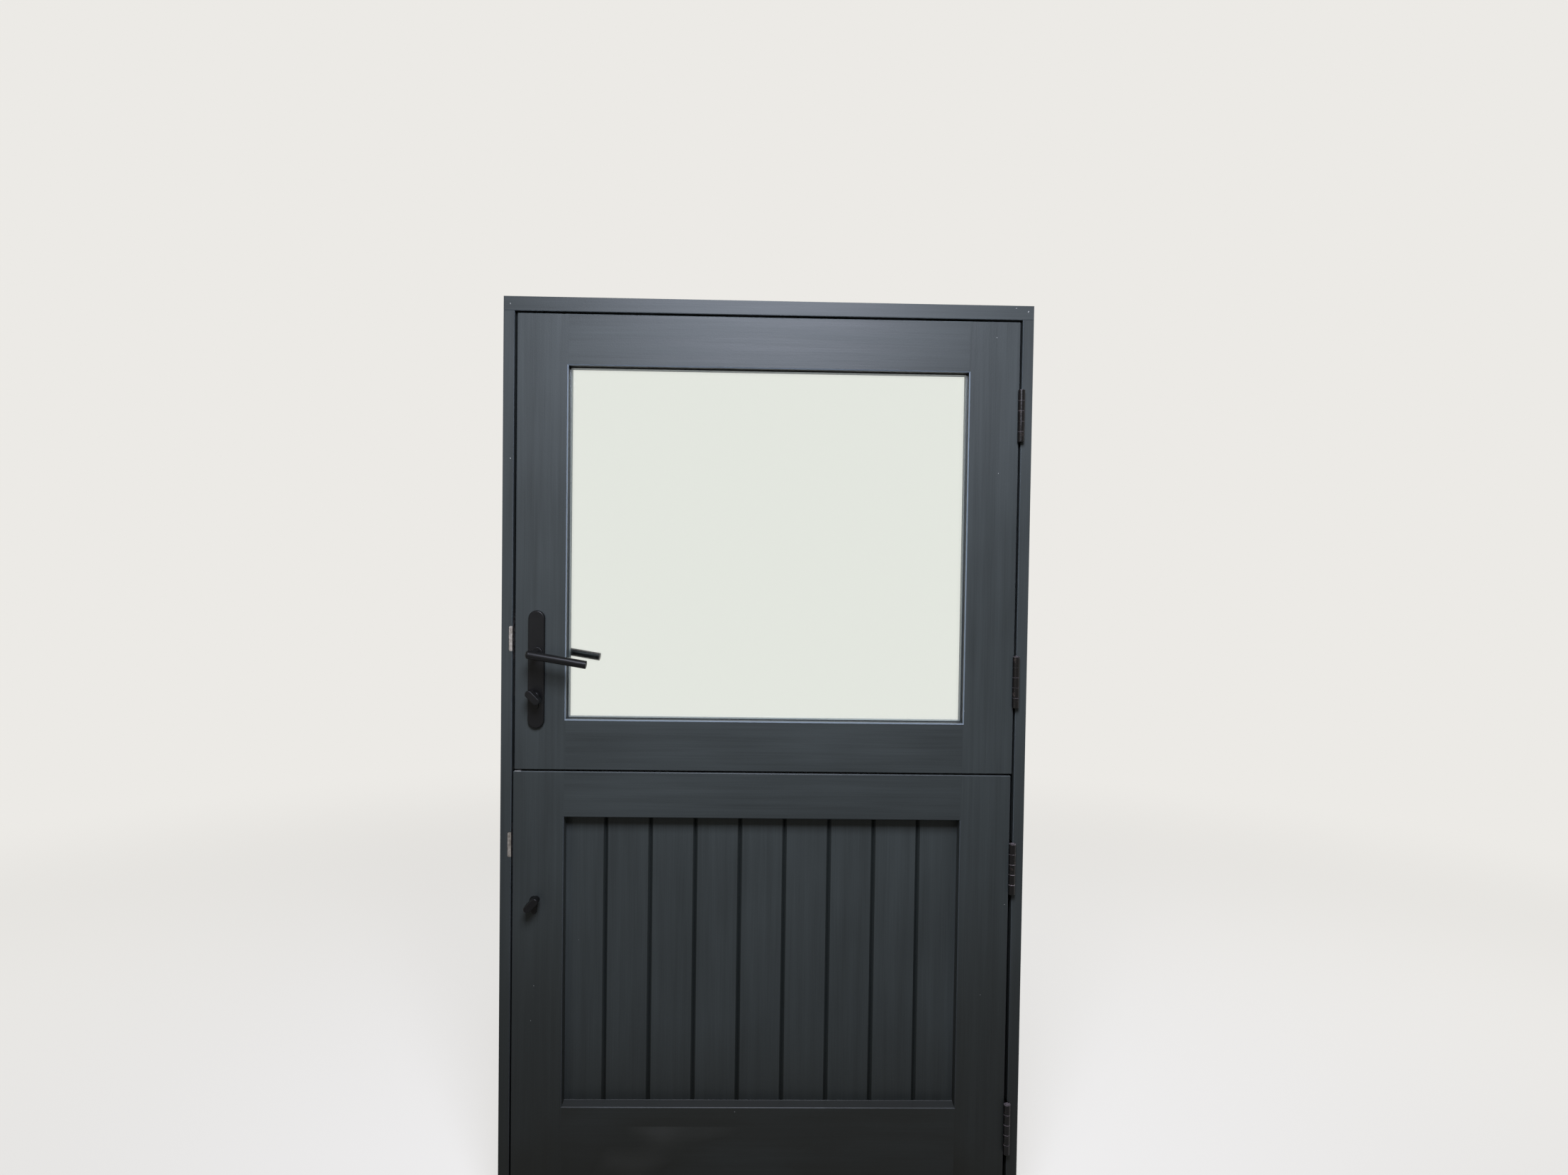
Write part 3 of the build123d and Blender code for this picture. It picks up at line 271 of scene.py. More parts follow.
paint = {
    "darkHex": "#232625",
    "lightHex": "#303433",
    "dustHex": "#6f706e",
    "nickHex": "#858581",
    "vJointShadeHex": "#141817",                      # painted shade on the slopes of the V-joints, where the grooves fall dark
    "vJointShadeShare": 0.75,
    "arrisHighlightHex": "#78828a",                      # painted highlight, a pale blue-grey sheen on the chamfers of the inner side
    "arrisHighlightShare": 0.10,
    "glassArrisHighlightShare": 0.5,                     # strongest round the glass
    "glassHalfWidth": 380 * mm,
    "glassHeights": (970 * mm, 1650 * mm),
    "innerDepth": -40 * mm,                     # the inner side's arrises stand nearer than this
    "footShadeHex": "#13120d",                       # painted shade, a warm dark that grows toward the floor
    "footShadeShare": 0.85,
    "footShadeHeights": (700 * mm, 140 * mm),        # where it starts and where it is full
    "boardFootShadeHeights": (400 * mm, 110 * mm),   # on the boards it starts lower
    "footShadePatches": (0.3, 0.6, 0.6, 1.0),        # from low and high, to low and high
    "scuffHex": "#3a3b38",                      # boots leave pale smears on the bottom rail
    "scuffShare": 0.5,
    "scuffHeight": 215 * mm,
    "scuffPatches": (0.52, 0.72),
    "brushWidth": 1.3 * mm,                     # bristles leave 0.4 mm: coarser, so that it shows
    "brushLength": 140 * mm,
    "brushTone": 0.3,
    "brushDepth": 0.05 * mm,
    "grainWidth": 13 * mm,
    "grainLength": 380 * mm,
    "grainTone": 0.3,
    "grainDepth": 0.22 * mm,
    "cloudWidth": 110 * mm,
    "cloudLength": 260 * mm,
    "cloudTone": 0.4,
    "peelSize": 2.2 * mm,                       # brushed paint ripples at 1 mm: coarser, to show
    "peelDepth": 0.07 * mm,
    "roughness": (0.36, 0.47),
    "grainGloss": (0.3, 0.7, 0.0, 0.6),         # what each pattern adds to the roughness
    "cloudGloss": (0.35, 0.65, 0.0, 0.4),
    "specular": 0.12,
    "dustShare": 0.08,
    "dustFacing": (0.55, 1.0),                  # thickest on what faces straight up
    "ledgeDustShare": 0.45,                     # a line of dust where the boards meet the ledge
    "ledgeFacing": (0.4, 0.6),
    "ledgeBreaks": (0.3, 0.6, 0.3, 1.0),
    "ledgeDepth": -22.3 * mm,
    "ledgeHeight": 300 * mm,
    "speckCell": 42 * mm,
    "speckRadius": 0.55 * mm,
    "cleanShare": 0.72,                         # the share of the cells without a speck
}

# Places of the nicks that show: x, z, half width, half height in mm and tilt in degrees
nicks = {
    "frame": [(454.5, 1751.4, 0.9, 0.8, 0), (477.0, 1745.4, 2.1, 0.7, 55),
              (-473.3, 1460.3, 0.7, 1.2, 0), (-475.2, 1742.5, 0.5, 1.6, 8)],
    "leaf": [(419.4, 1696.8, 0.9, 0.7, 0), (427.0, 1446.7, 0.9, 0.6, 0),
             (-456.0, 882.8, 7.5, 0.5, 0), (454.5, 639.8, 0.8, 0.8, 0)],
    "board": [(-212.3, 754.7, 0.7, 1.6, 0), (-43.7, 461.8, 0.7, 0.9, 0)],
}
nickDepth, nickReach = -80 * mm, 60 * mm        # they go no further back than -20 mm


def nickMask(tree, coords, places):
    mask = 0.0
    for x, z, halfWidth, halfHeight, tilt in places:
        local = addNode(tree, "Mapping", {"vector_type": "TEXTURE"},
                        {"Vector": coords, "Location": (x * mm, nickDepth, z * mm),
                         "Rotation": (0, -math.radians(tilt), 0),
                         "Scale": (halfWidth * mm, nickReach, halfHeight * mm)})
        reach = addNode(tree, "VectorMath", length, [local])
        mask = addNode(tree, "Math", most, [mask, addNode(tree, "Math", less, [reach, 1.0])])
    return mask


def specks(tree, coords):
    cells = addNode(tree, "TexVoronoi", None,
                    {"Vector": coords, "Scale": 1 / paint["speckCell"]}).outputs
    close = addNode(tree, "Math", less,
                    [cells["Distance"], paint["speckRadius"] / paint["speckCell"]])
    chance = addNode(tree, "SeparateColor", None, [cells["Color"]])
    chosen = addNode(tree, "Math", more, [chance, paint["cleanShare"]])
    return addNode(tree, "Math", times, [close, chosen])


def paintedArrisHighlights(tree, spot):
    # a painted highlight on the chamfers of the inner side, strongest round the glass
    across, depth, height = spot
    bottom, top = paint["glassHeights"]
    aside = addNode(tree, "Math", unsigned, [across])
    beside = addNode(tree, "Math", less, [aside, paint["glassHalfWidth"]])
    above = addNode(tree, "Math", more, [height, bottom])
    below = addNode(tree, "Math", less, [height, top])
    level = addNode(tree, "Math", times, [above, below])
    nearGlass = addNode(tree, "Math", times, [beside, level])
    amount = addNode(tree, "MapRange", None,
                     [nearGlass, 0.0, 1.0, paint["arrisHighlightShare"], paint["glassArrisHighlightShare"]])
    innerSide = addNode(tree, "Math", less, [depth, paint["innerDepth"]])
    amount = addNode(tree, "Math", times, [amount, innerSide])
    return addNode(tree, "Math", times, [slopedShare(tree), amount])


def settledDust(tree, spot, patchy):
    # a trace on all that faces up, and a broken line at the back of the panel's ledge
    upward = facing(tree)[2]
    trace = addNode(tree, "MapRange", None,
                    [upward, *paint["dustFacing"], 0.0, paint["dustShare"]])
    behind = addNode(tree, "Math", more, [spot[1], paint["ledgeDepth"]])
    low = addNode(tree, "Math", less, [spot[2], paint["ledgeHeight"]])
    flat = addNode(tree, "MapRange", None,
                   [upward, *paint["ledgeFacing"], 0.0, paint["ledgeDustShare"]])
    broken = addNode(tree, "MapRange", None, [patchy, *paint["ledgeBreaks"]])
    line = addNode(tree, "Math", times, [behind, low])
    line = addNode(tree, "Math", times, [line, flat])
    line = addNode(tree, "Math", times, [line, broken])
    return addNode(tree, "Math", most, [trace, line])


def makePaint(name, along, places, vJointed=False):
    material, tree, shader, coords = startMaterial(name)
    spot = addNode(tree, "SeparateXYZ", None, [coords]).outputs

    def lengthwise(part):
        width, run = paint[part + "Width"], paint[part + "Length"]
        return [run if axis == along else width for axis in "XYZ"]

    brush = stretchedNoise(tree, coords, lengthwise("brush"), detail=3.0, roughness=0.6)
    grain = stretchedNoise(tree, coords, lengthwise("grain"))
    cloud = stretchedNoise(tree, coords, lengthwise("cloud"))
    peel = stretchedNoise(tree, coords, [paint["peelSize"]] * 3, detail=1.0)

    tone = 0.0
    for pattern, share in ((brush, "brushTone"), (grain, "grainTone"), (cloud, "cloudTone")):
        part = addNode(tree, "MapRange", None, [pattern, *noiseSpread, 0.0, paint[share]])
        tone = addNode(tree, "Math", plus, [tone, part])
    color = addNode(tree, "Mix", colored, {0: tone, 6: paint["darkHex"], 7: paint["lightHex"]})

    if vJointed:
        # the slopes of the V-joints are darkened: painted shade of the grooves
        grimeAndPaintedLight = addNode(tree, "Math", times, [slopedShare(tree), paint["vJointShadeShare"]])
        color = addNode(tree, "Mix", colored, {0: grimeAndPaintedLight, 6: color, 7: paint["vJointShadeHex"]})
    else:
        # painted highlight on the chamfers of the inner side
        rubbedAndHighlit = paintedArrisHighlights(tree, spot)
        color = addNode(tree, "Mix", colored, {0: rubbedAndHighlit, 6: color, 7: paint["arrisHighlightHex"]})
    # darker toward the floor: painted shade, broken into patches by the clouds
    high, low = paint["boardFootShadeHeights" if vJointed else "footShadeHeights"]
    footShade = addNode(tree, "MapRange", None, [spot[2], low, high, paint["footShadeShare"], 0.0])
    patches = addNode(tree, "MapRange", None, [cloud, *paint["footShadePatches"]])
    footShade = addNode(tree, "Math", times, [footShade, patches])
    color = addNode(tree, "Mix", colored, {0: footShade, 6: color, 7: paint["footShadeHex"]})
    if along == "X":
        smear = addNode(tree, "MapRange", None,
                        [cloud, *paint["scuffPatches"], 0.0, paint["scuffShare"]])
        kicked = addNode(tree, "Math", less, [spot[2], paint["scuffHeight"]])
        smear = addNode(tree, "Math", times, [smear, kicked])
        color = addNode(tree, "Mix", colored, {0: smear, 6: color, 7: paint["scuffHex"]})
    dust = settledDust(tree, spot, brush)
    color = addNode(tree, "Mix", colored, {0: dust, 6: color, 7: paint["dustHex"]})
    worn = addNode(tree, "Math", most, [specks(tree, coords), nickMask(tree, coords, places)])
    color = addNode(tree, "Mix", colored, {0: worn, 6: color, 7: paint["nickHex"]})

    patchy = addNode(tree, "Math", plus,
                     [addNode(tree, "MapRange", None, [grain, *paint["grainGloss"]]),
                      addNode(tree, "MapRange", None, [cloud, *paint["cloudGloss"]])])
    rough = addNode(tree, "MapRange", None, [patchy, 0.0, 1.0, *paint["roughness"]])
    setInputs(tree, shader, {"Base Color": color, "Roughness": rough,
                             "Specular IOR Level": paint["specular"]})
    bumped(tree, shader, [(grain, paint["grainDepth"]), (brush, paint["brushDepth"]),
                          (peel, paint["peelDepth"])])
    return material


uprightPaint = makePaint("satinPaintBrushedUpright", "Z", nicks["frame"] + nicks["leaf"])
levelPaint = makePaint("satinPaintBrushedLevel", "X", nicks["frame"] + nicks["leaf"])
boardPaint = makePaint("satinPaintOnBoards", "Z", nicks["board"], vJointed=True)
print("paint made")


# Zinc alloy of the levers and plates, cast and then powder-coated in black. To the eye the baked
# powder is a fine even pebble with a soft highlight.

furniture = {
    "darkHex": "#090909",
    "lightHex": "#0f0f0f",
    "pebble": 0.7 * mm,                         # baked powder pebbles at 0.3 mm: coarser, to show
    "pebbleDepth": 0.03 * mm,
    "pebbleTone": 0.5,
    "patch": 35 * mm,
    "patchTone": 0.5,
    "roughness": (0.28, 0.38),
    "specular": 0.11,
}


def makePowderCoat():
    material, tree, shader, coords = startMaterial("powderCoatedZincAlloy")
    pebble = stretchedNoise(tree, coords, [furniture["pebble"]] * 3)
    patch = stretchedNoise(tree, coords, [furniture["patch"]] * 3)
    tone = addNode(tree, "Math", plus,
                   [addNode(tree, "Math", times, [pebble, furniture["pebbleTone"]]),
                    addNode(tree, "Math", times, [patch, furniture["patchTone"]])])
    color = addNode(tree, "Mix", colored,
                    {0: tone, 6: furniture["darkHex"], 7: furniture["lightHex"]})
    rough = addNode(tree, "MapRange", None, [patch, *noiseSpread, *furniture["roughness"]])
    setInputs(tree, shader, {"Base Color": color, "Roughness": rough,
                             "Specular IOR Level": furniture["specular"]})
    bumped(tree, shader, [(pebble, furniture["pebbleDepth"])])
    return material


# Hinges of pressed steel under brushed black lacquer. To the eye they are glossier than the paint
# beside them and rubbed brown in spots; painted highlights lie where the knuckles meet and on the
# pin tops.

hinges = {
    "blackHex": "#080707",
    "rubbedHex": "#302925",
    "rubbedSpots": (0.60, 0.72, 0.0, 0.7),      # from low and high, to low and high
    "specular": 0.17,
    "rimGlintHex": "#837a7c",                        # painted highlight on the knuckle rims and pin tops, pale as bare steel
    "rimWidth": 0.6 * mm,                       # half the height of a painted glint
    "rimGlintPatches": (0.40, 0.56, 0.1, 0.7),
    "endGlintShare": 0.35,
    "endGlintFacing": (0.5, 0.9),
    "knuckle": 19 * mm,                         # the height of one
    "knuckles": 5,
    # how high each hinge starts, in mm, and how strong its painted glints are: the lower leaf's are
    # the strongest
    "rimGlint": {1505: 0.2, 1012: 0.25, 662: 1.0, 169: 0.8},
    "barrelDepth": -50.5 * mm,                  # the barrels stand out past this
    "grimeAndPaintedLight": 9 * mm,
    "lacquerRun": 3 * mm,
    "runStretch": 5,
    "runDepth": 0.05 * mm,
    "roughness": (0.17, 0.26),
}


def paintedRimGlints(tree, coords, patchy):
    # painted highlights: a thin broken band below every gap between knuckles, and the tops of the
    # pins, which face the light
    spot = addNode(tree, "SeparateXYZ", None, [coords]).outputs
    width, knuckle = hinges["rimWidth"], hinges["knuckle"]
    middle = knuckle * hinges["knuckles"] / 2
    glints = 0.0
    for bottom, rimGlint in hinges["rimGlint"].items():
        up = addNode(tree, "Math", minus, [spot[2], bottom * mm])
        shifted = addNode(tree, "Math", plus, [up, width])
        toGap = addNode(tree, "Math", zigzag, [shifted, knuckle / 2])
        off = addNode(tree, "Math", minus, [up, middle])
        off = addNode(tree, "Math", unsigned, [off])
        band = addNode(tree, "Math", times, [addNode(tree, "Math", less, [toGap, width]),
                                             addNode(tree, "Math", less, [off, middle + width])])
        band = addNode(tree, "Math", times, [band, rimGlint])
        glints = addNode(tree, "Math", most, [glints, band])
    broken = addNode(tree, "MapRange", None, [patchy, *hinges["rimGlintPatches"]])
    glints = addNode(tree, "Math", times, [glints, broken])
    ends = addNode(tree, "MapRange", None,
                   [facing(tree)[2], *hinges["endGlintFacing"], 0.0, hinges["endGlintShare"]])
    barrel = addNode(tree, "Math", less, [spot[1], hinges["barrelDepth"]])
    return addNode(tree, "Math", times, [addNode(tree, "Math", most, [glints, ends]), barrel])


def makeLacquer():
    material, tree, shader, coords = startMaterial("lacqueredPressedSteel")
    width = hinges["lacquerRun"]
    grimeAndPaintedLight = stretchedNoise(tree, coords, [hinges["grimeAndPaintedLight"]] * 3, detail=4.0, roughness=0.6)
    run = stretchedNoise(tree, coords, [width, width, hinges["runStretch"] * width])
    rubbedAndHighlit = addNode(tree, "MapRange", None, [grimeAndPaintedLight, *hinges["rubbedSpots"]])
    color = addNode(tree, "Mix", colored,
                    {0: rubbedAndHighlit, 6: hinges["blackHex"], 7: hinges["rubbedHex"]})
    # painted highlights on the knuckle rims and pin tops
    color = addNode(tree, "Mix", colored,
                    {0: paintedRimGlints(tree, coords, grimeAndPaintedLight), 6: color, 7: hinges["rimGlintHex"]})
    rough = addNode(tree, "MapRange", None, [run, *noiseSpread, *hinges["roughness"]])
    setInputs(tree, shader, {"Base Color": color, "Roughness": rough,
                             "Specular IOR Level": hinges["specular"]})
    bumped(tree, shader, [(run, hinges["runDepth"])])
    return material


# Mild steel of the lock cases, keeps and spindle, rolled and then zinc-plated. To the eye it is
# pale grey metal with drawn lines and a cloudy bloom.

zinc = {
    "lightHex": "#95918d",
    "greyHex": "#575451",
    "lineWidth": 0.5 * mm,                      # rolling leaves 0.1 mm: coarser, so that it shows
    "lineLength": 25 * mm,
    "lineTone": 0.4,
    "lineDepth": 0.02 * mm,
    "bloom": 5 * mm,
    "bloomTone": 0.6,
    "roughness": (0.34, 0.55),
}


def makeZinc():
    material, tree, shader, coords = startMaterial("zincPlatedMildSteel")
    line = stretchedNoise(tree, coords, [zinc["lineWidth"], zinc["lineWidth"], zinc["lineLength"]])
    bloom = stretchedNoise(tree, coords, [zinc["bloom"]] * 3, detail=3.0)
    tone = addNode(tree, "Math", plus,
                   [addNode(tree, "Math", times, [line, zinc["lineTone"]]),
                    addNode(tree, "MapRange", None, [bloom, *noiseSpread, 0.0, zinc["bloomTone"]])])
    color = addNode(tree, "Mix", colored, {0: tone, 6: zinc["greyHex"], 7: zinc["lightHex"]})
    rough = addNode(tree, "MapRange", None, [bloom, *noiseSpread, *zinc["roughness"]])
    setInputs(tree, shader, {"Base Color": color, "Roughness": rough, "Metallic": 1.0})
    bumped(tree, shader, [(line, zinc["lineDepth"])])
    return material


# Steel bolts, milled, polished and nickel-plated. To the eye they are brighter and smoother than
# the zinc, with the cutter's marks across them.

bolts = {
    "lightHex": "#d3cdc2",
    "greyHex": "#b5afa5",
    "millMark": 0.8 * mm,                       # the cutter leaves 0.2 mm: coarser, so it shows
    "markStretch": 20,
    "markDepth": 0.01 * mm,
    "roughness": (0.16, 0.28),
}


def makeNickel():
    material, tree, shader, coords = startMaterial("nickelPlatedSteel")
    width = bolts["millMark"]
    mark = stretchedNoise(tree, coords, [bolts["markStretch"] * width, width, width])
    color = addNode(tree, "Mix", colored, {0: mark, 6: bolts["greyHex"], 7: bolts["lightHex"]})
    rough = addNode(tree, "MapRange", None, [mark, *noiseSpread, *bolts["roughness"]])
    setInputs(tree, shader, {"Base Color": color, "Roughness": rough, "Metallic": 1.0})
    bumped(tree, shader, [(mark, bolts["markDepth"])])
    return material


# Clear float glass, made flat on molten tin. To the eye it has a faint green cast, mirrors the
# pale studio a little, and is very slightly hazed in patches.

glass = {
    "castHex": "#fafdfb",
    "bending": 1.52,                            # its index of refraction
    "hazePatch": 60 * mm,
    "hazeSpread": (0.45, 0.75),
    "haze": (0.0, 0.008),
}


def makeGlass():
    material, tree, shader, coords = startMaterial("clearFloatGlass")
    output = shader.outputs[0].links[0].to_node
    patch = stretchedNoise(tree, coords, [glass["hazePatch"]] * 3, detail=3.0)
    haze = addNode(tree, "MapRange", None, [patch, *glass["hazeSpread"], *glass["haze"]])
    setInputs(tree, shader, {"Base Color": glass["castHex"], "Transmission Weight": 1.0,
                             "IOR": glass["bending"], "Roughness": haze})
    # light falls straight through the panes onto what stands behind them
    clear = addNode(tree, "BsdfTransparent", None, {"Color": glass["castHex"]})
    shadowRay = addNode(tree, "LightPath").outputs["Is Shadow Ray"]
    setInputs(tree, output, [addNode(tree, "MixShader", None, [shadowRay, shader, clear])])
    return material


# Aluminium spacer bar, roll-formed and anodised. To the eye it is a dull grey strip with a row of
# fine drying holes, drawn as tone, and black sealant on the sides that hold the panes.

spacer = {
    "greyHex": "#5b6770",
    "holeHex": "#2c3135",
    "sealHex": "#16191b",
    "pitch": 4 * mm,                            # the holes are 1.5 mm apart: coarser, to show
    "holeRadius": 0.16,                         # as a share of the pitch
    "metallic": 0.8,
    "roughness": 0.42,
    "sealFacing": (0.4, 0.6),
    "rollMark": (6 * mm, 0.6 * mm, 6 * mm),     # rolling leaves 0.1 mm: coarser, to show
    "rollDepth": 0.02 * mm,
}


def makeSpacer():
    material, tree, shader, coords = startMaterial("anodisedSpacerBar")
    cells = addNode(tree, "TexVoronoi", None,
                    {"Vector": coords, "Scale": 1 / spacer["pitch"], "Randomness": 0.0}).outputs
    hole = addNode(tree, "Math", less, [cells["Distance"], spacer["holeRadius"]])
    bar = addNode(tree, "Mix", colored, {0: hole, 6: spacer["greyHex"], 7: spacer["holeHex"]})
    squarely = addNode(tree, "Math", unsigned, [facing(tree)[1]])
    sealed = addNode(tree, "MapRange", None, [squarely, *spacer["sealFacing"], 0.0, 1.0])
    color = addNode(tree, "Mix", colored, {0: sealed, 6: bar, 7: spacer["sealHex"]})
    metallic = addNode(tree, "MapRange", None, [sealed, 0.0, 1.0, spacer["metallic"], 0.0])
    setInputs(tree, shader, {"Base Color": color, "Metallic": metallic,
                             "Roughness": spacer["roughness"]})
    bumped(tree, shader, [(stretchedNoise(tree, coords, spacer["rollMark"]), spacer["rollDepth"])])
    return material


# Extruded rubber of the seals. To the eye it is matt black with a greyish bloom.

rubber = {
    "blackHex": "#121213",
    "bloomHex": "#232425",
    "bloom": 18 * mm,
    "grit": 0.8 * mm,                           # the filler's grit is 0.2 mm: coarser, to show
    "gritDepth": 0.03 * mm,
    "roughness": 0.78,
}


def makeRubber():
    material, tree, shader, coords = startMaterial("extrudedRubber")
    bloom = stretchedNoise(tree, coords, [rubber["bloom"]] * 3, detail=3.0)
    color = addNode(tree, "Mix", colored, {0: bloom, 6: rubber["blackHex"], 7: rubber["bloomHex"]})
    setInputs(tree, shader, {"Base Color": color, "Roughness": rubber["roughness"]})
    bumped(tree, shader, [(stretchedNoise(tree, coords, [rubber["grit"]] * 3),
                           rubber["gritDepth"])])
    return material


lacquer, zincPlate, powderCoat = makeLacquer(), makeZinc(), makePowderCoat()
print("metals made")


# Countersunk screws of the hinges, keeps and forends, and the bolts of the lever set: turned heads
# with a pressed cross, each tightened to a turn of its own

screws = {
    "kinds": {
        # radius and depth of the head, radius of the shank, length and point in mm
        "flapInJamb": (4.2, 2.5, 2.0, 17.0, 5.0),
        "flapInLeaf": (4.2, 2.5, 2.0, 28.0, 5.0),
        "keepScrew": (4.2, 2.0, 2.0, 17.0, 5.0),
        "forendScrew": (4.2, 3.0, 2.0, 28.0, 5.0),
        "plateBolt": (4.5, 2.5, 2.5, 60.0, 1.5),
    },
    "sides": 32,
    "tipShare": 0.12,                           # how wide the point's end is beside the shank
    "rimWidth": 0.25,
    "rimSegments": 2,
    "armReach": 2.5,                            # half the length of an arm of the cross
    "armWidth": 1.1,
    "crossDepth": 1.7,
    "crossTaper": 0.45,                         # how wide the cross is at its foot beside its top
    "overcut": 0.2,                             # how far the cutter stands out of the head
    "sharpAngle": 30,                           # degrees, from which an edge gets its rim
    "smoothAngle": 32,                          # degrees, up to which an edge is shaded smooth
    "turnStep": 37,                             # degrees from one screw to the next
}

# Where the heads lie, in mm, at the places of the CAD screws that these replace
screwPlaces = {
    "flapFace": 463.5,
    "jambFace": (-467.5, 467.5),                # the lock jamb's and the hinge jamb's
    "leafEdge": (-462.5, -464.5),               # the upper leaf's and the lower leaf's
    "flapRows": ((14.0, -23.5), (47.5, -35.5), (81.0, -23.5)),    # height on the flap, and depth
    "lockDepth": -20.5,
    "keepHeights": (1028.5, 1175.5, 645.5, 792.5),
    "forendHeights": ((967.0, 1174.5), (584.0, 791.5)),
    "plateBolts": ((-422.0, 14.5, 1163.95), (-422.0, 14.5, 981.45)),
}
straightDown = -0.9                             # the Z of a normal that counts as down


def pickDownward(piece):
    # leaves the piece in edit mode with only the faces that look down selected
    bpy.ops.object.mode_set(mode="EDIT")
    bpy.ops.mesh.select_mode(type="FACE")
    bpy.ops.mesh.select_all(action="DESELECT")
    bpy.ops.object.mode_set(mode="OBJECT")
    for face in piece.data.polygons:
        face.select = face.normal.z < straightDown
    bpy.ops.object.mode_set(mode="EDIT")


def makeScrew(kind):
    # stands on Z with its head's face at the origin
    head, sink, shank, reach, point = (size * mm for size in screws["kinds"][kind])
    bpy.ops.mesh.primitive_cylinder_add(vertices=screws["sides"], radius=head, depth=sink,
                                        location=(0, 0, -sink / 2))
    screw = bpy.context.object
    bpy.ops.object.transform_apply(location=True)
    pickDownward(screw)
    bpy.ops.transform.resize(value=(shank / head, shank / head, 1), center_override=(0, 0, -sink))
    for step in (sink + point - reach, -point):
        bpy.ops.mesh.extrude_region_move(TRANSFORM_OT_translate={"value": (0, 0, step)})
    tip = screws["tipShare"]
    bpy.ops.transform.resize(value=(tip, tip, 1), center_override=(0, 0, -reach))
    bpy.ops.object.mode_set(mode="OBJECT")
    rim = screw.modifiers.new("rim", "BEVEL")
    rim.width = screws["rimWidth"] * mm
    rim.segments = screws["rimSegments"]
    rim.angle_limit = math.radians(screws["sharpAngle"])
    bpy.ops.object.modifier_apply(modifier=rim.name)
    for turned in (False, True):
        cutArm(screw, turned)
    bpy.ops.object.shade_smooth_by_angle(angle=math.radians(screws["smoothAngle"]))
    screw.name = kind
    return screw


def cutArm(screw, turned):
    # one of the two tapering grooves of the cross
    reach, width, depth, over = (screws[part] * mm
                                 for part in ("armReach", "armWidth", "crossDepth", "overcut"))
    across = (width, 2 * reach) if turned else (2 * reach, width)
    bpy.ops.mesh.primitive_cube_add(size=1, location=(0, 0, over - depth / 2))
    arm = bpy.context.object
    arm.scale = (*across, depth + 2 * over)
    bpy.ops.object.transform_apply(location=True, scale=True)
    pickDownward(arm)
    taper = screws["crossTaper"]
    bpy.ops.transform.resize(value=(taper, taper, 1), center_override=(0, 0, -depth))
    bpy.ops.object.mode_set(mode="OBJECT")
    bpy.ops.object.select_all(action="DESELECT")
    screw.select_set(True)
    bpy.context.view_layer.objects.active = screw
    cross = screw.modifiers.new("cross", "BOOLEAN")
    cross.object = arm
    bpy.ops.object.modifier_apply(modifier=cross.name)
    bpy.data.objects.remove(arm)


def fitScrews(name, body, places):
    # places: kind, material, where the head's face sits in mm, and the way it faces
    copies = []
    for count, (kind, finish, place, way) in enumerate(places):
        screw = models[kind].copy()
        screw.data = models[kind].data.copy()
        screw.data.materials.append(finish)
        bpy.context.scene.collection.objects.link(screw)
        turn = Matrix.Rotation(math.radians(count * screws["turnStep"]), 4, "Z")
        aim = Vector(way).to_track_quat("Z", "Y").to_matrix().to_4x4()
        screw.matrix_world = Matrix.Translation(Vector(place) * mm) @ aim @ turn
        copies.append(screw)
    bpy.context.view_layer.update()
    bpy.ops.object.select_all(action="DESELECT")
    for screw in copies:
        screw.select_set(True)
    bpy.context.view_layer.objects.active = copies[0]
    bpy.ops.object.transform_apply(location=True, rotation=True, scale=True)
    bpy.ops.object.join()
    piece = bpy.context.object
    piece.name = name + "_set"
    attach(piece, body)
    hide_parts(name)


def flapScrews(kind, face, way, bottoms):
    return [(kind, lacquer, (face, depth, bottom + up), way)
            for bottom in bottoms for up, depth in screwPlaces["flapRows"]]


def lockScrews(kind, face, way, heights):
    return [(kind, zincPlate, (face, screwPlaces["lockDepth"], height), way) for height in heights]


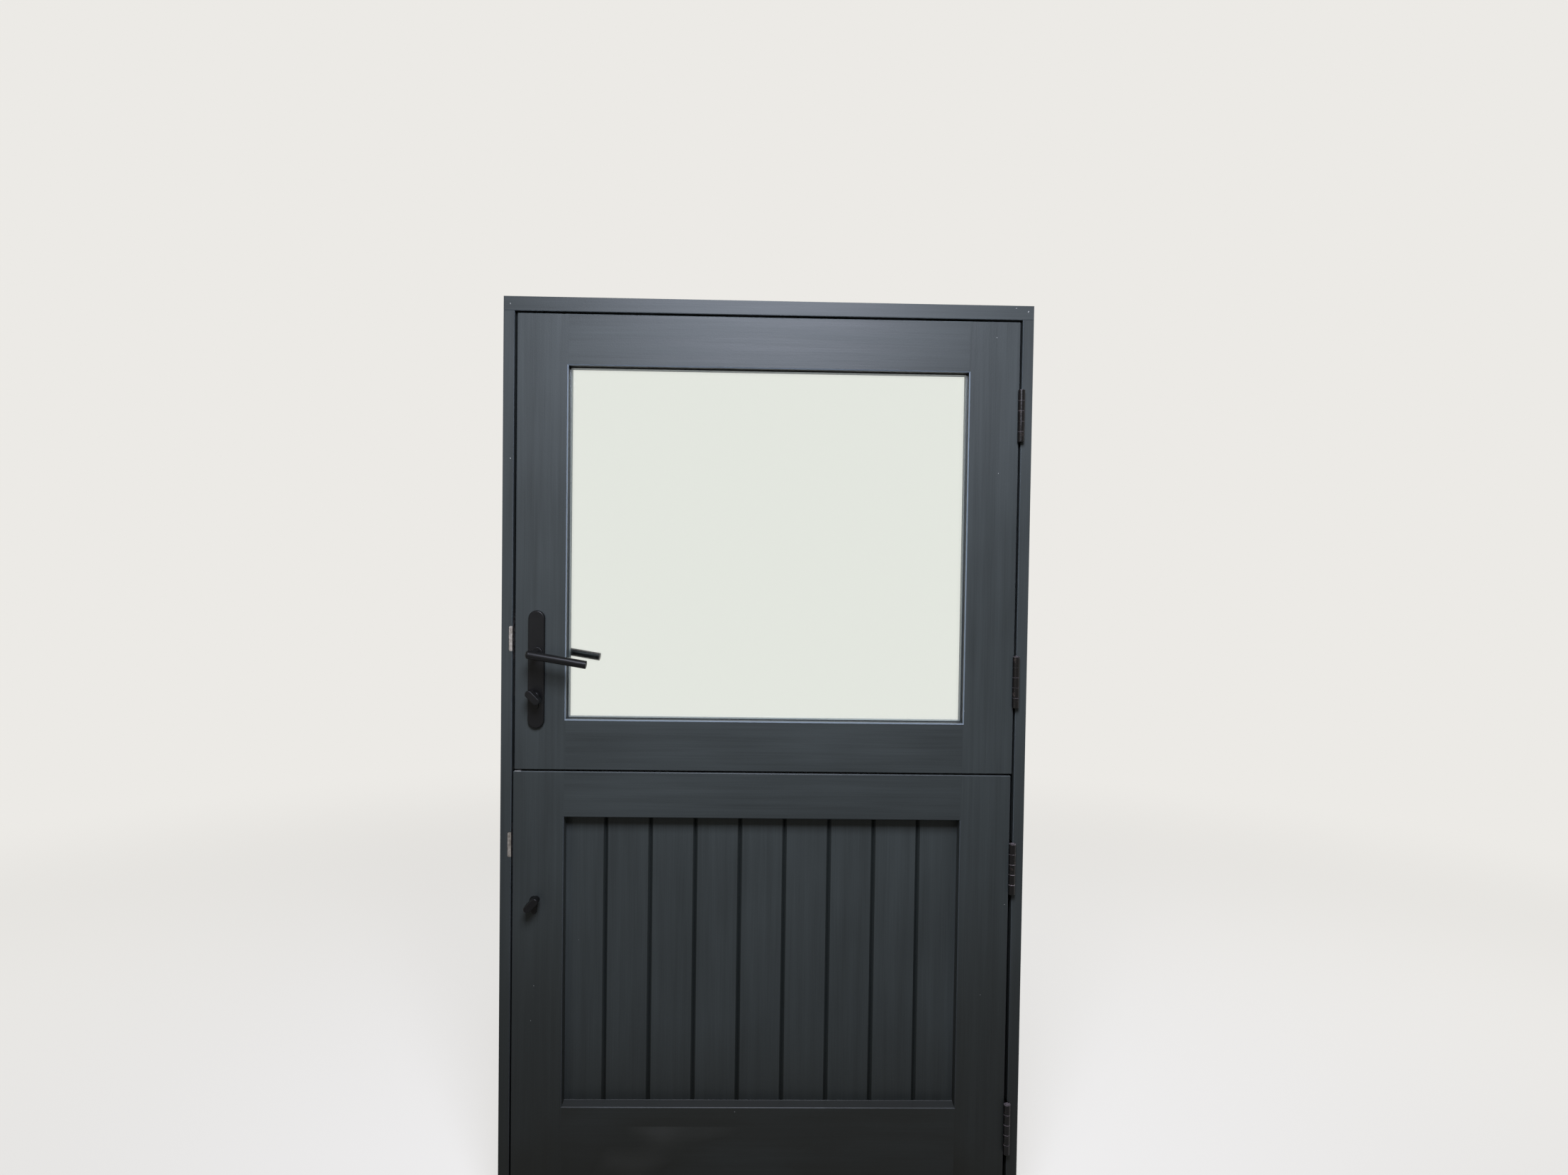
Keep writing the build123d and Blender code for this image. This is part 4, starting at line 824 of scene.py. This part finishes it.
bpy.ops.object.select_all(action="DESELECT")
models = {kind: makeScrew(kind) for kind in screws["kinds"]}
outward, toHinges, toLock = (0, 1, 0), (1, 0, 0), (-1, 0, 0)
lockJamb, hingeJamb = screwPlaces["jambFace"]
upperEdge, lowerEdge = screwPlaces["leafEdge"]
upperHeights, lowerHeights = screwPlaces["forendHeights"]
bottoms = list(hinges["rimGlint"])                  # the upper leaf's two hinges, then the lower's
fitScrews("frame_screws", "frame",
          flapScrews("flapInJamb", hingeJamb, toLock, bottoms)
          + lockScrews("keepScrew", lockJamb, toHinges, screwPlaces["keepHeights"]))
fitScrews("upper_leaf_screws", "upper_leaf",
          flapScrews("flapInLeaf", screwPlaces["flapFace"], toHinges, bottoms[:2])
          + lockScrews("forendScrew", upperEdge, toLock, upperHeights)
          + [("plateBolt", powderCoat, place, outward) for place in screwPlaces["plateBolts"]])
fitScrews("lower_leaf_screws", "lower_leaf",
          flapScrews("flapInLeaf", screwPlaces["flapFace"], toHinges, bottoms[2:])
          + lockScrews("forendScrew", lowerEdge, toLock, lowerHeights))
for screw in models.values():
    bpy.data.objects.remove(screw)
print("screws fitted")


# Every node of the frame gets its finish

finishes = {
    uprightPaint: ["lock_jamb", "hinge_jamb", "upper_lock_stile", "upper_hinge_stile",
                   "lower_lock_stile", "lower_hinge_stile", "glazing_bead_left",
                   "glazing_bead_right"],
    levelPaint: ["sill", "head", "upper_top_rail", "upper_meeting_rail", "lower_meeting_rail",
                 "lower_bottom_rail", "weatherboard", "glazing_bead_top", "glazing_bead_bottom"],
    boardPaint: [f"board_{i}" for i in range(1, 10)],
    powderCoat: ["inside_backplate", "outside_backplate", "inside_lever", "outside_lever",
                 "upper_thumb_turn", "lower_thumb_turn", "upper_cylinder", "lower_cylinder"],
    lacquer: [f"hinge_{i}_{side}_flap" for i in range(1, 5) for side in ("frame", "leaf")]
    + ["hinge_pins", "frame_screws", "upper_leaf_screws", "lower_leaf_screws"],
    zincPlate: ["upper_keep", "lower_keep", "upper_lock_case", "lower_lock_case",
                "lever_spindle"],
    makeNickel(): ["upper_latch_bolt", "upper_deadbolt", "lower_latch_bolt", "lower_deadbolt"],
    makeGlass(): panes,
    makeSpacer(): ["glass_spacer"],
    makeRubber(): ["frame_seal", "meeting_seal"],
}
for material, names in finishes.items():
    for name in names:
        for place in nodes[name].material_slots:
            place.material = material
bare = set(nodes) - {name for names in finishes.values() for name in names}
print("finishes given, nodes without one:", sorted(bare))
